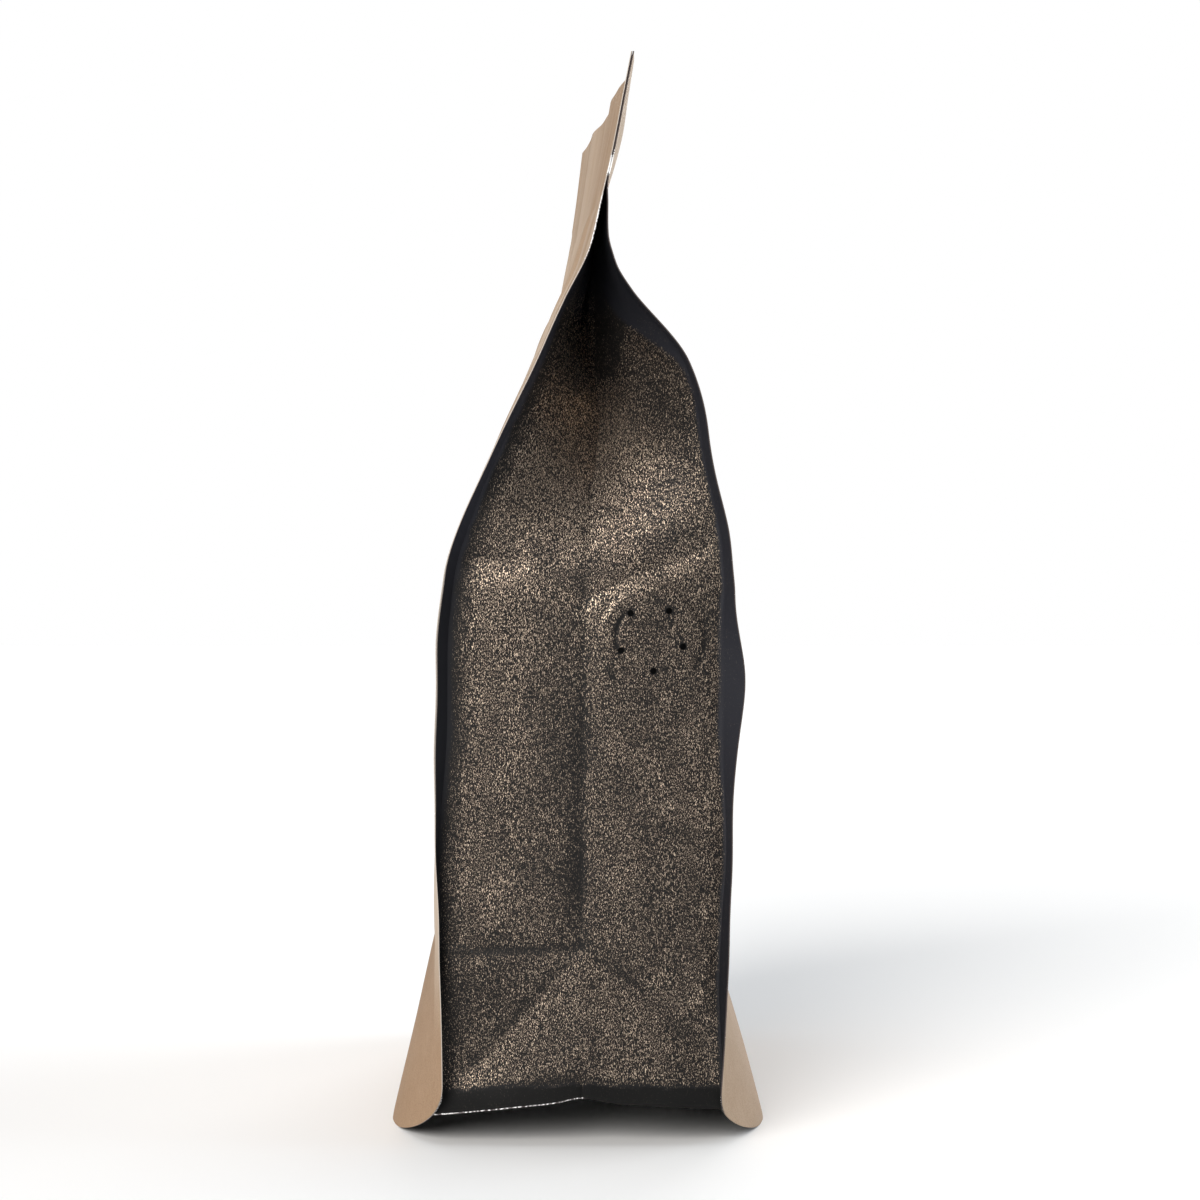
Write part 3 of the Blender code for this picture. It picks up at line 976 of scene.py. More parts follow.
@dataclass
class KraftPanel:
    """A kraft panel: one sheet from the skirt's edge to the top, with its two fins."""

    form: BagForm
    face: Face
    name: str
    node: str
    slot: str
    finishes: list[bpy.types.Material]
    columns: int = 150
    rows: int = 300
    edge_crowding: float = 1.35
    edge_paint_margin: float = 0.9 * MM
    streaks: tuple[Lumps, Lumps] = (Lumps(41, 8.0 * MM), Lumps(43, 3.2 * MM))

    def grid(self) -> tuple[Array, Array]:
        """Places across and heights of the sheet's points.

        Columns crowd towards the fins, and rows towards the notch. The lowest row follows
        the skirt's edge, and its rise at the corners dies away up the sheet.

        Returns:
            x and z, columns by rows.
        """
        across = np.linspace(-1.0, 1.0, self.columns) * -self.face
        across = np.sign(across) * (1.0 - (1.0 - np.abs(across)) ** self.edge_crowding)
        z = spaced(0.0, self.form.height, self.rows,
                   lambda h: 1.0 + 2.2 * bell(h, self.form.notch_height, 4.0 * MM)
                   + 0.6 * bell(h, 150.0 * MM, 50.0 * MM))
        level = z / self.form.height
        lift = self.form.skirt_edge(across * self.form.half_width)
        height = z[None, :] + lift[:, None] * (1.0 - level[None, :]) ** 7
        edge = self.form.side_edge(height)
        root = self.form.root_x
        place = across[:, None] * self.form.half_width
        share = self.form.fin_share(place)
        reach = np.where(np.abs(place) > root, root + (edge - root) * share, np.abs(place))
        return np.sign(place) * reach, height

    def build(self) -> bpy.types.Object:
        """Makes the panel.

        Returns:
            The object.
        """
        x, z = self.grid()
        outer = np.stack([x, self.form.panel_y(self.face, x, z), z], 2)
        inner_x, inner_y = self.form.inset(self.face, x, z, self.form.panel_thickness)
        inner = np.stack([inner_x, inner_y, z], 2)
        piece = Piece(self.name, (self.node,), self.slot, self.finishes)
        values = {"foil_and_glint": self.form.bare_foil_and_glint(self.face, x, z), "crease_pale_and_highlight": self.crease_pale_and_highlight(x, z)}
        values = {key: np.tile(value.reshape(-1), 2) for key, value in values.items()}
        points, faces, layers = closed_sheet(outer, inner)
        # Near its edge the inner foil face takes the cut edge's finish in place of foil: a painted
        # pale highlight on the front panel, painted shade on the back.
        reach = np.abs(points[faces][..., 0]).min(1)
        margin = (reach > self.form.half_width - self.edge_paint_margin) & (layers == Layer.INNER)
        layers[margin] = Layer.EDGE
        return piece.build(points, faces, layers, values)

    def crease_pale_and_highlight(self, x: Array, z: Array) -> Array:
        """How much paler paper is painted in: upright streaks in the neck, fainter above it. It is
        partly the paling of creased paper and partly painted highlight where the neck faces the
        light.

        The front panel is painted pale along its fins as well: a painted highlight where their
        outer face turns to the light.

        Args:
            x: Places across the panel.
            z: Heights.

        Returns:
            The share of pale paper, from 0 to 1.
        """
        streak = self.streaks[0].at(x, 0.16 * z) + 0.7 * self.streaks[1].at(x, 0.1 * z + 0.2 * x)
        neck = bell(z, 184.0 * MM, 24.0 * MM)
        seal = smoothstep(z, 196.0 * MM, 214.0 * MM)
        level = 0.46 * neck + 0.24 * seal
        paled = np.clip(level * (1.0 + 0.6 * streak) - 0.05, 0.0, 1.0)
        if self.face is Face.BACK:
            return paled
        fin = smoothstep(np.abs(x), self.form.root_x - 1.0 * MM, self.form.root_x + 1.0 * MM)
        fin = fin * smoothstep(z, 20.0 * MM, 60.0 * MM) * (1.0 - smoothstep(z, 85 * MM, 130 * MM))
        return np.maximum(paled, 0.7 * fin)


@dataclass
class GussetFilm:
    """A black gusset: film from the front fin's edge, across the side, to the back fin's."""

    form: BagForm
    side: Side
    name: str
    finishes: list[bpy.types.Material]
    columns: int = 148
    rows: int = 320
    fin_part: float = 0.13
    film_short: float = 0.45 * MM
    hem_end: float = 0.05
    valve_y: float = 16.5 * MM
    valve_z: float = 114.3 * MM
    valve_rim: float = 12.0 * MM
    valve_ring: float = 7.9 * MM
    pinhole_circle: float = 7.3 * MM
    pinhole_radius: float = 0.72 * MM
    hole_shade: float = 0.95 * MM
    seal_knots: Knots = ((-31.0, 5.5), (-12.0, 4.5), (0.5, 3.3), (12.0, 4.1), (31.0, 4.9))
    pinhole_turn: float = math.radians(57.5)
    pinholes: int = 5
    rim_height: float = 0.3 * MM
    ring_depth: float = 0.32 * MM
    relief_heights: tuple[float, float] = (0.26 * MM, 0.1 * MM)
    apex: tuple[float, float] = (0.6 * MM, 44.5 * MM)
    triangle_slopes: tuple[float, float] = (27.8 / 31.4, 26.6 / 23.8)
    triangle_lean: float = 0.04
    triangle_turns: tuple[float, float] = (0.06, 0.035)
    corner_lean: float = 0.02
    fold_widths: tuple[float, float] = (4.6 * MM, 0.7 * MM)
    mottling: float = 0.17
    # The next two numbers paint shade: the flecks' dimming at the fin roots, and in the neck's wedge.
    fin_root_shade: tuple[float, float] = (0.1, 0.6)
    wedge_shade: float = 0.85
    strip_tone: float = 0.55
    creases: tuple[Crease, ...] = (
        Crease((0.8, 44.0), (1.7, 123.0), 1.0, (6.0, 2.2), 6.0),
        Crease((1.7, 123.0), (-12.8, 131.0), 0.5, (2.6, 3.4)),
        Crease((-12.8, 131.0), (-29.0, 132.6), 1.3, (2.6, 3.4)),
        Crease((1.7, 123.0), (16.0, 129.6), 0.5, (3.4, 2.6)),
        Crease((16.0, 129.6), (33.2, 136.2), 1.0, (3.4, 3.2)),
        Crease((-30.0, 43.6), (0.6, 45.0), 0.55, (1.6, 1.6), 2.0),
        Crease((0.7, 10.0), (1.1, 22.0), 0.7, (0.8, 0.9), 2.0),
    )
    # Painted light and shade on the grained film, over its facets and creases.
    patches: tuple[Patch, ...] = (
        # Upper half: painted light on two slopes that fall from the middle, painted shade between
        # them
        Patch((6.6, 169.0), (3.8, 7.0), 0.0, 1.3),
        Patch((12.0, 160.0), (9.0, 4.0), -54.0, 0.4),
        Patch((20.0, 149.0), (7.0, 7.0), 0.0, -0.42),
        Patch((27.0, 140.0), (5.0, 2.6), -50.0, 0.25),
        Patch((18.5, 168.0), (15.0, 2.8), -57.0, -0.5),
        Patch((15.0, 178.0), (4.0, 3.0), -30.0, 0.35),
        Patch((-8.0, 155.0), (14.0, 8.0), 60.0, 0.55),
        Patch((-6.0, 174.0), (7.0, 9.0), 0.0, 0.8),
        Patch((0.0, 150.0), (4.5, 16.0), 0.0, 0.5),
        Patch((0.0, 156.0), (17.0, 13.0), 0.0, 0.62),
        Patch((0.8, 181.0), (2.4, 9.0), 0.0, 1.2),
        # Shoulder: painted shade above each crease and painted light below it
        Patch((-12.0, 126.6), (13.0, 4.4), -13.0, 0.4),
        Patch((-27.0, 134.6), (4.5, 1.2), 0.0, -0.5),
        Patch((0.6, 126.0), (2.2, 3.0), 0.0, -0.5),
        Patch((18.0, 128.0), (14.0, 5.5), 20.0, 0.46),
        Patch((24.0, 138.2), (9.0, 1.9), 19.0, -0.45),
        Patch((6.0, 118.0), (3.0, 5.0), 0.0, 0.25),
        # Middle: painted light on a flat place on the right and painted shade under it
        Patch((25.0, 79.0), (5.0, 5.5), 20.0, 0.4),
        Patch((25.0, 70.5), (8.5, 2.2), -12.0, -0.35),
        Patch((12.0, 98.0), (7.0, 4.0), 30.0, -0.15),
        Patch((-19.0, 108.0), (5.0, 7.0), 0.0, 0.15),
        # Foot: painted shade along the level crease and the two slanted ones that bound the triangle,
        # painted light beside them
        Patch((-15.0, 44.4), (17.0, 0.7), 2.5, -0.95),
        Patch((-16.0, 55.5), (8.0, 5.0), 0.0, 0.2),
        Patch((-22.0, 33.0), (13.0, 7.5), 42.0, -0.42),
        Patch((-14.6, 28.9), (20.0, 1.3), 48.3, -0.5),
        Patch((-11.0, 28.6), (18.0, 1.9), 48.3, 0.42),
        Patch((-19.0, 17.0), (6.0, 2.6), 5.0, 0.05),
        Patch((0.5, 37.0), (3.5, 5.5), 0.0, 0.2),
        Patch((9.5, 39.4), (9.0, 1.3), -36.0, -0.6),
        Patch((22.0, 27.0), (8.0, 1.7), -44.0, -0.4),
        Patch((-5.0, 15.2), (5.0, 1.4), 3.0, -0.6),
        Patch((7.0, 16.4), (4.5, 1.3), -12.0, 0.4),
    )
    strokes: tuple[Stroke, ...] = (
        Stroke(8.2, 0.6, 165.0, 40.0, -1.7),
        Stroke(8.3, 0.55, 76.0, 22.0, -1.1),
        Stroke(11.9, 0.5, -11.0, 22.0, -1.7),
        Stroke(12.0, 0.65, 222.0, 10.0, -1.4),
        Stroke(13.4, 1.3, 20.0, 25.0, -0.35),
    )
    # Painted shade along the middle fold, on its left side.
    fold_shades: tuple[Patch, ...] = (
        Patch((0.0, 96.0), (99.0, 11.0), 0.0, -0.45),
        Patch((0.0, 59.0), (99.0, 13.0), 0.0, -0.7),
        Patch((0.0, 80.0), (99.0, 28.0), 0.0, -0.55),
    )
    relief: tuple[Lumps, Lumps] = (Lumps(5, 15.0 * MM), Lumps(8, 6.5 * MM))

    def facets(self, y: Array, z: Array) -> Array:
        """The flat facets that the folded base leaves in the gusset's lower end.

        Below the apex the two slanted creases bound a triangle. Inside it the film leans
        out towards its foot, and outside it leans in.

        Args:
            y: Places across the gusset.
            z: Heights.

        Returns:
            Outward displacement in metres.
        """
        apex_y, apex_z = self.apex
        below = np.clip(apex_z - z, 0.0, None)
        slope = np.where(y < apex_y, *self.triangle_slopes)
        outside = np.clip(np.abs(y - apex_y) - below * slope, 0.0, None)
        lean_out = self.triangle_lean * below
        turn_in = np.where(y < apex_y, *self.triangle_turns) * (below * slope)
        part = np.clip(np.abs(y - apex_y) / np.maximum(below * slope, 0.1 * MM), 0.0, 1.0)
        folded = lean_out * (1.0 - part) - turn_in * part
        folded = folded + self.corner_lean * outside * (below > 0.0)
        return folded * smoothstep(z, 10.0 * MM, 20.0 * MM)

    def details(self, y: Array, z: Array) -> Array:
        """Everything that stands out from the plain gusset: facets, creases and relief.

        Args:
            y: Places across the gusset.
            z: Heights.

        Returns:
            Outward displacement in metres.
        """
        low = 1.0 - smoothstep(z, 170.0 * MM, 190.0 * MM)
        total = self.facets(y, z)
        for crease in self.creases:
            total = total + crease.at(y, z)
        coarse, fine = self.relief_heights
        total = total + coarse * self.relief[0].at(y + 0.1 * self.side, z) * low
        total = total + fine * self.relief[1].at(y, z + 0.1 * self.side) * low
        if self.side is Side.VALVE:
            away = np.hypot(y - self.valve_y, z - self.valve_z)
            turn = np.arctan2(z - self.valve_z, y - self.valve_y)
            on_rim = 1.0 - smoothstep(away, self.valve_rim - 1.2 * MM, self.valve_rim)
            pressed = 0.15 + 0.85 * bell(np.cos(turn / 2.0 + 0.15), 0.0, 0.55)
            ring = self.ring_depth * bell(away, self.valve_ring, 0.5 * MM) * pressed
            flat = 1.0 - smoothstep(away, 9.0 * MM, 15.0 * MM)
            total = total * (1.0 - 0.8 * flat) + self.rim_height * on_rim - ring
        return total

    def tone(self, y: Array, z: Array, share: Array, edge: Array) -> Array:
        """How bright the flecks are painted, 1 on plain film: painted light and shade.

        The patches of painted light and shade add up. The middle fold gets painted shade on its
        left, by exp(-d/width), and the shade is stronger where the fold is deeper. Flecks fade
        towards the fins as painted shade, over a longer way beside the front fin, and the deep
        wedge of the neck is painted dark, with hardly any flecks.

        Args:
            y: Places across the gusset.
            z: Heights.
            share: Places across the film, from -1 at the front edge to 1 at the back.
            edge: Distance from the nearest fin's outer edge.

        Returns:
            The tone, from 0 up.
        """
        total = 1.0 + sum(patch.at(y, z) for patch in self.patches)
        # Painted shade on the left of the middle fold.
        line = (0.8 + 0.9 * (z / MM - 44.0) / 79.0) * MM
        side = np.abs(y - line) / np.where(y < line, *self.fold_widths)
        total = total + sum(patch.at(y, z) for patch in self.fold_shades) * np.exp(-side)
        total = total + self.valve_marks_and_hole_shade(y, z)
        mottle = self.relief[0].at(2.0 * y, 1.6 * z) + 0.6 * self.relief[1].at(1.5 * z, 1.5 * y)
        total = total * (1.0 + self.mottling * mottle)
        # Painted shade: the flecks dim towards the fins, where the film turns away from the light.
        way = np.where(share < 0.0, 6.0 + 8.0 * smoothstep(z, 138.0 * MM, 165.0 * MM), 1.5) * MM
        low = np.where(share < 0.0, *self.fin_root_shade)
        root = self.form.fin_width
        total = total * (low + (1.0 - low) * smoothstep(edge, root - 0.5 * MM, root + way))
        # Painted shade in the deep wedge of the neck.
        ragged = 1.5 * MM * self.relief[1].at(2.0 * y, 2.0 * z)
        right = (2.0 + 8.0 * (z / MM - 172.0) / 18.0) * MM + 3.8 * MM + ragged
        wedge = smoothstep(y, 3.4 * MM, 4.0 * MM) * (1.0 - smoothstep(y, right, right + 2.0 * MM))
        wedge = wedge * smoothstep(z, 171.0 * MM, 175.0 * MM)
        total = total * (1.0 - self.wedge_shade * wedge)
        strip = smoothstep(z, self.form.arch(y) + 5.0 * MM, self.form.arch(y) + 6.5 * MM)
        return np.clip(total, 0.0, 2.5) * (self.strip_tone + (1.0 - self.strip_tone) * strip)

    def valve_marks_and_hole_shade(self, y: Array, z: Array) -> Array:
        """Dark strokes on circles about the valve, at its raised ring and rim.

        Each stroke is a bell across a circle about the valve and a bell round it. Round
        each pinhole the film is painted dark: painted shade of the hole.

        Args:
            y: Places across the gusset.
            z: Heights.

        Returns:
            The change of tone, nothing on the gusset that has no valve.
        """
        if self.side is Side.PLAIN:
            return np.zeros_like(y)
        away = np.hypot(y - self.valve_y, z - self.valve_z) / MM
        turn = np.degrees(np.arctan2(z - self.valve_z, y - self.valve_y))
        total = sum(stroke.at(away, turn) for stroke in self.strokes)
        total = total * (0.75 + 0.5 * self.relief[1].at(6.0 * y, 6.0 * z))
        # Painted shade round each pinhole.
        for hole_y, hole_z in self.pinhole_places():
            hole_away = np.hypot(y - hole_y, z - hole_z)
            total = total - 3.0 * (1.0 - smoothstep(hole_away, self.pinhole_radius, self.hole_shade))
        return total

    def lower_edge(self, x: Array, y: Array) -> Array:
        """Height of the film's lower edge: the fin's round corner, then the arch."""
        return np.maximum(self.form.skirt_edge(x), self.form.arch(y))

    def place(self, share: Array, z: Array, distance: float) -> tuple[Array, Array]:
        """The film's points.

        On a fin the film lies on the kraft panel. Between the fins it runs from each fin's
        root to the middle crease, which lies deeper the nearer the two roots are, because
        the film can't stretch. On the way in, each wall keeps the curve of its panel.

        Args:
            share: Places across the film, from -1 at the front edge to 1 at the back.
            z: Heights.
            distance: How far the face lies inside the panels' outer faces.

        Returns:
            x and y of the points.
        """
        form = self.form
        root_share = 1.0 - self.fin_part
        fin = np.clip((np.abs(share) - root_share) / self.fin_part, 0.0, 1.0)
        short = self.film_short * (1.0 - smoothstep(z, 125.0 * MM, 140.0 * MM)) * (share < 0.0)
        fin_x = self.side * (form.root_x + (form.side_edge(z) - short - form.root_x) * fin)
        front_x, front_y = form.inset(Face.FRONT, fin_x, z, distance)
        back_x, back_y = form.inset(Face.BACK, fin_x, z, distance)
        root_x = self.side * form.root_x * np.ones_like(z)
        front_root = form.inset(Face.FRONT, root_x, z, distance)
        back_root = form.inset(Face.BACK, root_x, z, distance)
        across = np.clip(share / root_share, -1.0, 1.0)
        half = (back_root[1] - front_root[1]) / 2.0
        folding = smoothstep(z, form.fold_start, form.fold_full)
        depth = np.sqrt(np.clip(form.gusset_half**2 - half**2, 0.0, None)) * folding
        crease_x = root_x - self.side * depth
        front_wall = form.inset(Face.FRONT, crease_x, z, distance)[1]
        back_wall = form.inset(Face.BACK, crease_x, z, distance)[1]
        crease_y = front_wall + (back_wall - front_wall) * form.crease_share(z)
        inward = 1.0 - np.abs(across)
        wall_x = root_x + (crease_x - root_x) * inward
        front_y_here = form.inset(Face.FRONT, wall_x, z, distance)[1]
        back_y_here = form.inset(Face.BACK, wall_x, z, distance)[1]
        wall_y = np.where(across < 0.0, front_y_here, back_y_here)
        wall_end = np.where(across < 0.0, front_wall, back_wall)
        start_x = np.where(across < 0.0, front_root[0], back_root[0])
        y = wall_y + (crease_y - wall_end) * inward
        x = start_x + (crease_x - start_x) * inward
        swell = form.pillow * (1.0 - folding) * (1.0 - across**2)
        fade = smoothstep(1.0 - np.abs(across), 0.0, 0.12)
        fade = fade * (1.0 - smoothstep(z, 186.0 * MM, 196.0 * MM))
        x = x + self.side * (swell + self.details(y, z) * fade)
        front_fin = share < -root_share
        back_fin = share > root_share
        x = np.where(front_fin, front_x, np.where(back_fin, back_x, x))
        y = np.where(front_fin, front_y, np.where(back_fin, back_y, y))
        return x, y

    def pinhole_places(self) -> list[tuple[float, float]]:
        """y and z of each pinhole, even round their circle."""
        turns = [self.pinhole_turn + math.tau * i / self.pinholes for i in range(self.pinholes)]
        return [(self.valve_y + self.pinhole_circle * math.cos(turn),
                 self.valve_z + self.pinhole_circle * math.sin(turn)) for turn in turns]

    def build(self) -> bpy.types.Object:
        """Makes the film.

        Returns:
            The object.
        """
        form = self.form
        order = np.linspace(-1.0, 1.0, self.columns) * self.side
        if self.side is Side.VALVE:
            order = spaced(-1.0, 1.0, self.columns,
                           lambda w: 1.0 + 1.6 * bell(w, 0.46, 0.24))
        z = spaced(0.0, form.height, self.rows,
                   lambda h: 1.0 + 2.6 * bell(h, self.valve_z, 8.5 * MM)
                   + 1.2 * bell(h, form.notch_height, 4.0 * MM)
                   + 2.0 * bell(h, 0.0, 1.0 * MM))
        level = z / form.height
        share = order[:, None] * np.ones_like(z)[None, :]
        height = np.ones_like(order)[:, None] * z[None, :]
        low_x, low_y = self.place(order, np.full_like(order, 10.0 * MM), form.film_inset)
        lift = self.lower_edge(low_x, low_y)
        height = height + lift[:, None] * (1.0 - level[None, :]) ** 7
        x, y = self.place(share, height, form.film_inset)
        hidden_x, hidden_y = self.place(share, height, form.panel_thickness + 0.01 * MM)
        outer = np.stack([x, y, height], 2)
        normal = grid_normals(outer)
        inner = outer - normal * form.film_thickness
        on_fin = (np.abs(share) > 1.0 - self.fin_part)[..., None]
        inner = np.where(on_fin, np.stack([hidden_x, hidden_y, height], 2), inner)
        keep = np.ones((self.columns - 1, self.rows - 1), bool)
        if self.side is Side.VALVE:
            outer, inner, keep = self.punch(outer, inner)
        values = self.masks(share, z, x, y, height)
        values = {key: np.tile(value.reshape(-1), 2) for key, value in values.items()}
        points, faces, layers = closed_sheet(outer, inner, keep)
        column, row = np.nonzero(keep)
        hem_cells = (row == 0) & (share[column, row] < self.hem_end)
        layers[:len(column)][hem_cells] = Layer.EDGE
        piece = Piece(self.name, ("gusseted_pouch",), "black_film", self.finishes)
        return piece.build(points, faces, layers, values)

    def masks(self, share: Array, z: Array, x: Array, y: Array, height: Array) -> dict[str, Array]:
        """Values that the film's materials read at each point.

        The film is plain at its seals, on the fins and in the hem strip, and in the neck, where
        the plain dark film is painted shade. The plain film's brightness is painted light and shade,
        darker low down, in the neck and in the strip, and the hem's cut edge shows foil, painted
        near white as its glint.

        Args:
            share: Places across the film, from -1 at the front edge to 1 at the back.
            z: Heights of the rows, before the lower edge lifts them.
            x: Places across the bag.
            y: Places across the gusset.
            height: Heights of the points.

        Returns:
            The values seal_and_shade, foil_and_glint, tone and shade.
        """
        form = self.form
        front = share < 0.0
        fin_edge = (1.0 - np.abs(share)) / self.fin_part * form.fin_width
        bottom = height - self.lower_edge(x, y)
        strip = bottom + 0.35 * MM * self.relief[1].at(3.0 * y, 3.0 * height)
        tall = through(self.seal_knots, np.clip(y, -31.0 * MM, 31.0 * MM))
        above = smoothstep(strip, tall - 0.3 * MM, tall + 0.5 * MM)
        fade = np.where(front, 1.6, 0.9) * MM + 2.0 * MM * smoothstep(z, 160 * MM, 190 * MM)
        # In the neck the plain bands beside the fins widen: painted shade where the film turns deep.
        wide = np.where(front, 7.0 * smoothstep(height, 184.0 * MM, 198.0 * MM),
                        12.0 * smoothstep(height, 172.0 * MM, 193.0 * MM)) * MM
        fin = form.fin_width + wide + 0.35 * MM * self.relief[1].at(3.0 * y, 2.0 * height)
        seal_and_shade = np.maximum(1.0 - smoothstep(fin_edge, fin, fin + fade), 1.0 - above)
        # From the neck up the whole film is made plain and dark: painted shade of the deep neck, with
        # the top seal above it.
        seal_and_shade = np.maximum(seal_and_shade, smoothstep(height, 186.0 * MM, 198.0 * MM))
        # Painted light and shade on the plain film: lighter higher up on both fins, darker in the
        # neck and in the strip.
        shade = np.where(front, 0.38 + 0.57 * smoothstep(height, 120.0 * MM, 150.0 * MM),
                         0.31 + 0.31 * smoothstep(height, 35.0 * MM, 80.0 * MM))
        shade = shade * (1.0 - 0.52 * smoothstep(height, 176.0 * MM, 200.0 * MM)) * above
        # The hem's cut edge shows foil, painted near white as its glint.
        hem = 1.0 - smoothstep(bottom, 0.4 * MM, 1.0 * MM)
        foil_and_glint = np.maximum(form.bare_foil_and_glint(np.sign(share), x, height), hem * (0.5 - 0.1 * share))
        tone = self.tone(y, height, share, fin_edge)
        return {"seal_and_shade": seal_and_shade, "foil_and_glint": foil_and_glint, "tone": tone, "shade": shade}

    def punch(self, outer: Array, inner: Array) -> tuple[Array, Array, Array]:
        """Cuts the pinholes: drops the cells inside each and rounds the edge that is left.

        Args:
            outer: Points of the visible face.
            inner: Points of the hidden face.

        Returns:
            Both grids with their points moved onto the holes' rims, and the cells to keep.
        """
        middle = 0.25 * (outer[:-1, :-1] + outer[1:, :-1] + outer[1:, 1:] + outer[:-1, 1:])
        keep = np.ones(middle.shape[:2], bool)
        for hole_y, hole_z in self.pinhole_places():
            away = np.hypot(middle[..., 1] - hole_y, middle[..., 2] - hole_z)
            gone = away < self.pinhole_radius
            keep &= ~gone
            touched = np.zeros(outer.shape[:2], bool)
            for shift_x in (0, 1):
                for shift_z in (0, 1):
                    touched[shift_x:shift_x + gone.shape[0], shift_z:shift_z + gone.shape[1]] |= gone
            for grid in (outer, inner):
                dy, dz = grid[..., 1] - hole_y, grid[..., 2] - hole_z
                size = np.maximum(np.hypot(dy, dz), 1e-9)
                scale = np.where(touched, self.pinhole_radius / size, 1.0)
                grid[..., 1] = hole_y + dy * scale
                grid[..., 2] = hole_z + dz * scale
        return outer, inner, keep


@dataclass
class BaseTray:
    """The base film: a sagging plate, and its rim joined by a seal to the skirts and the gussets."""

    form: BagForm
    finishes: list[bpy.types.Material]
    panel_points: int = 90
    gusset_points: int = 60
    plate_rings: int = 16
    rim_rows: int = 12
    base_height: float = 15.6 * MM
    sag: float = 3.0 * MM

    def ring(self, z: Array) -> tuple[Array, Array, Array]:
        """The rim's outline at the given heights, one for each point round it.

        Args:
            z: Height of each point.

        Returns:
            x, y and the height of the lower edge of each point.
        """
        form = self.form
        steps = np.linspace(-1.0, 1.0, self.panel_points)
        across = np.sign(steps) * (1.0 - (1.0 - np.abs(steps)) ** 1.3) * form.root_x
        turns = np.linspace(-1.0, 1.0, self.gusset_points + 2)[1:-1]
        inset = form.film_inset + 0.02 * MM
        n, m = self.panel_points, self.gusset_points
        parts = np.split(z, [n, n + m, 2 * n + m])
        front = form.inset(Face.FRONT, across, parts[0], inset)
        back = form.inset(Face.BACK, -across, parts[2], inset)
        x = [front[0], None, back[0], None]
        y = [front[1], None, back[1], None]
        low = [form.skirt_edge(across), None, form.skirt_edge(-across), None]
        for index, side in ((1, 1.0), (3, -1.0)):
            root = side * form.root_x * np.ones(m)
            first = form.inset(Face.FRONT, root, parts[index], inset)
            last = form.inset(Face.BACK, root, parts[index], inset)
            turn = side * turns
            y[index] = 0.5 * (first[1] + last[1]) + 0.5 * (last[1] - first[1]) * turn
            bulge = (form.pillow - 3.4 * MM) * (1.0 - turn**2)
            x[index] = 0.5 * (first[0] + last[0]) + side * (bulge - 0.7 * MM)
            low[index] = form.arch(y[index]) + 0.25 * MM
        return np.concatenate(x), np.concatenate(y), np.concatenate(low)

    def build(self) -> bpy.types.Object:
        """Makes the tray.

        Returns:
            The object.
        """
        count = 2 * (self.panel_points + self.gusset_points)
        top = np.full(count, self.base_height)
        x, y, low = self.ring(top)
        rows = []
        for share in np.linspace(0.02, 1.0, self.plate_rings):
            z = self.base_height - self.sag * (1.0 - share * share)
            rows.append(np.stack([x * share, y * share, np.full(count, z)], 1))
        for share in np.linspace(0.0, 1.0, self.rim_rows + 1)[1:]:
            z = top + (low - top) * share
            rim_x, rim_y, _ = self.ring(z)
            rows.append(np.stack([rim_x, rim_y, z], 1))
        outer = np.stack(rows, 1)
        wrapped = np.concatenate([outer[-1:], outer, outer[:1]])
        normal = grid_normals(wrapped)[1:-1]
        inner = outer + normal * self.form.film_thickness
        inner[..., 2] = np.maximum(inner[..., 2], 0.0)
        return self.shell(outer, inner)

    def shell(self, outer: Array, inner: Array) -> bpy.types.Object:
        """Joins the two faces round their rings and closes both middles.

        Args:
            outer: Points of the outer face, round the rings by from the middle out.
            inner: Points of the inner face.

        Returns:
            The object.
        """
        around, rows = outer.shape[:2]
        number = np.arange(around * rows).reshape(around, rows)
        after = np.roll(number, -1, axis=0)
        a, b = number[:, :-1].ravel(), after[:, :-1].ravel()
        c, d = after[:, 1:].ravel(), number[:, 1:].ravel()
        count = around * rows
        faces = [np.stack([a, d, c, b], 1), np.stack([a, b, c, d], 1) + count]
        edge, edge_after = number[:, -1], after[:, -1]
        faces.append(np.stack([edge, edge + count, edge_after + count, edge_after], 1))
        centre = np.stack([outer[:, 0].mean(0), inner[:, 0].mean(0)])
        first, first_after = number[:, 0], after[:, 0]
        hub = np.full(around, 2 * count)
        points = np.concatenate([outer.reshape(-1, 3), inner.reshape(-1, 3), centre])
        triangles = np.concatenate([
            np.stack([hub, first, first_after], 1),
            np.stack([hub + 1, first_after + count, first + count], 1),
        ])
        piece = Piece("base_tray", ("bottom_panel",), "base_film", self.finishes)
        return piece.build(points, np.concatenate(faces), triangles=triangles)


@dataclass
class TopSeal:
    """The core of the top seal: the liners of both panels pressed together between them."""

    form: BagForm
    finishes: list[bpy.types.Material]
    columns: int = 70
    rows: int = 30
    reach: float = 31.5 * MM
    start: float = 208.0 * MM

    def build(self) -> bpy.types.Object:
        """Makes the core.

        Returns:
            The object.
        """
        form = self.form
        x = np.linspace(-self.reach, self.reach, self.columns)[:, None]
        z = np.linspace(self.start, form.height - 0.05 * MM, self.rows)[None, :]
        x, z = np.broadcast_arrays(x, z)
        inset = form.panel_thickness + 0.005 * MM
        front_x, front_y = form.inset(Face.FRONT, x, z, inset)
        back_x, back_y = form.inset(Face.BACK, x, z, inset)
        outer = np.stack([front_x, front_y, z], 2)
        inner = np.stack([back_x, back_y, z], 2)
        piece = Piece("top_seal_core", ("gusseted_pouch",), "black_film", self.finishes)
        return piece.build(*closed_sheet(outer, inner))


# ---------------------------------------------------------------- studio


@dataclass(frozen=True)
class Lamp:
    """A soft light from far away: where it comes from, its strength and its spread in degrees."""

    name: str
    source: Colour
    power: float
    softness: float
    colour: Colour = (1.0, 1.0, 1.0)


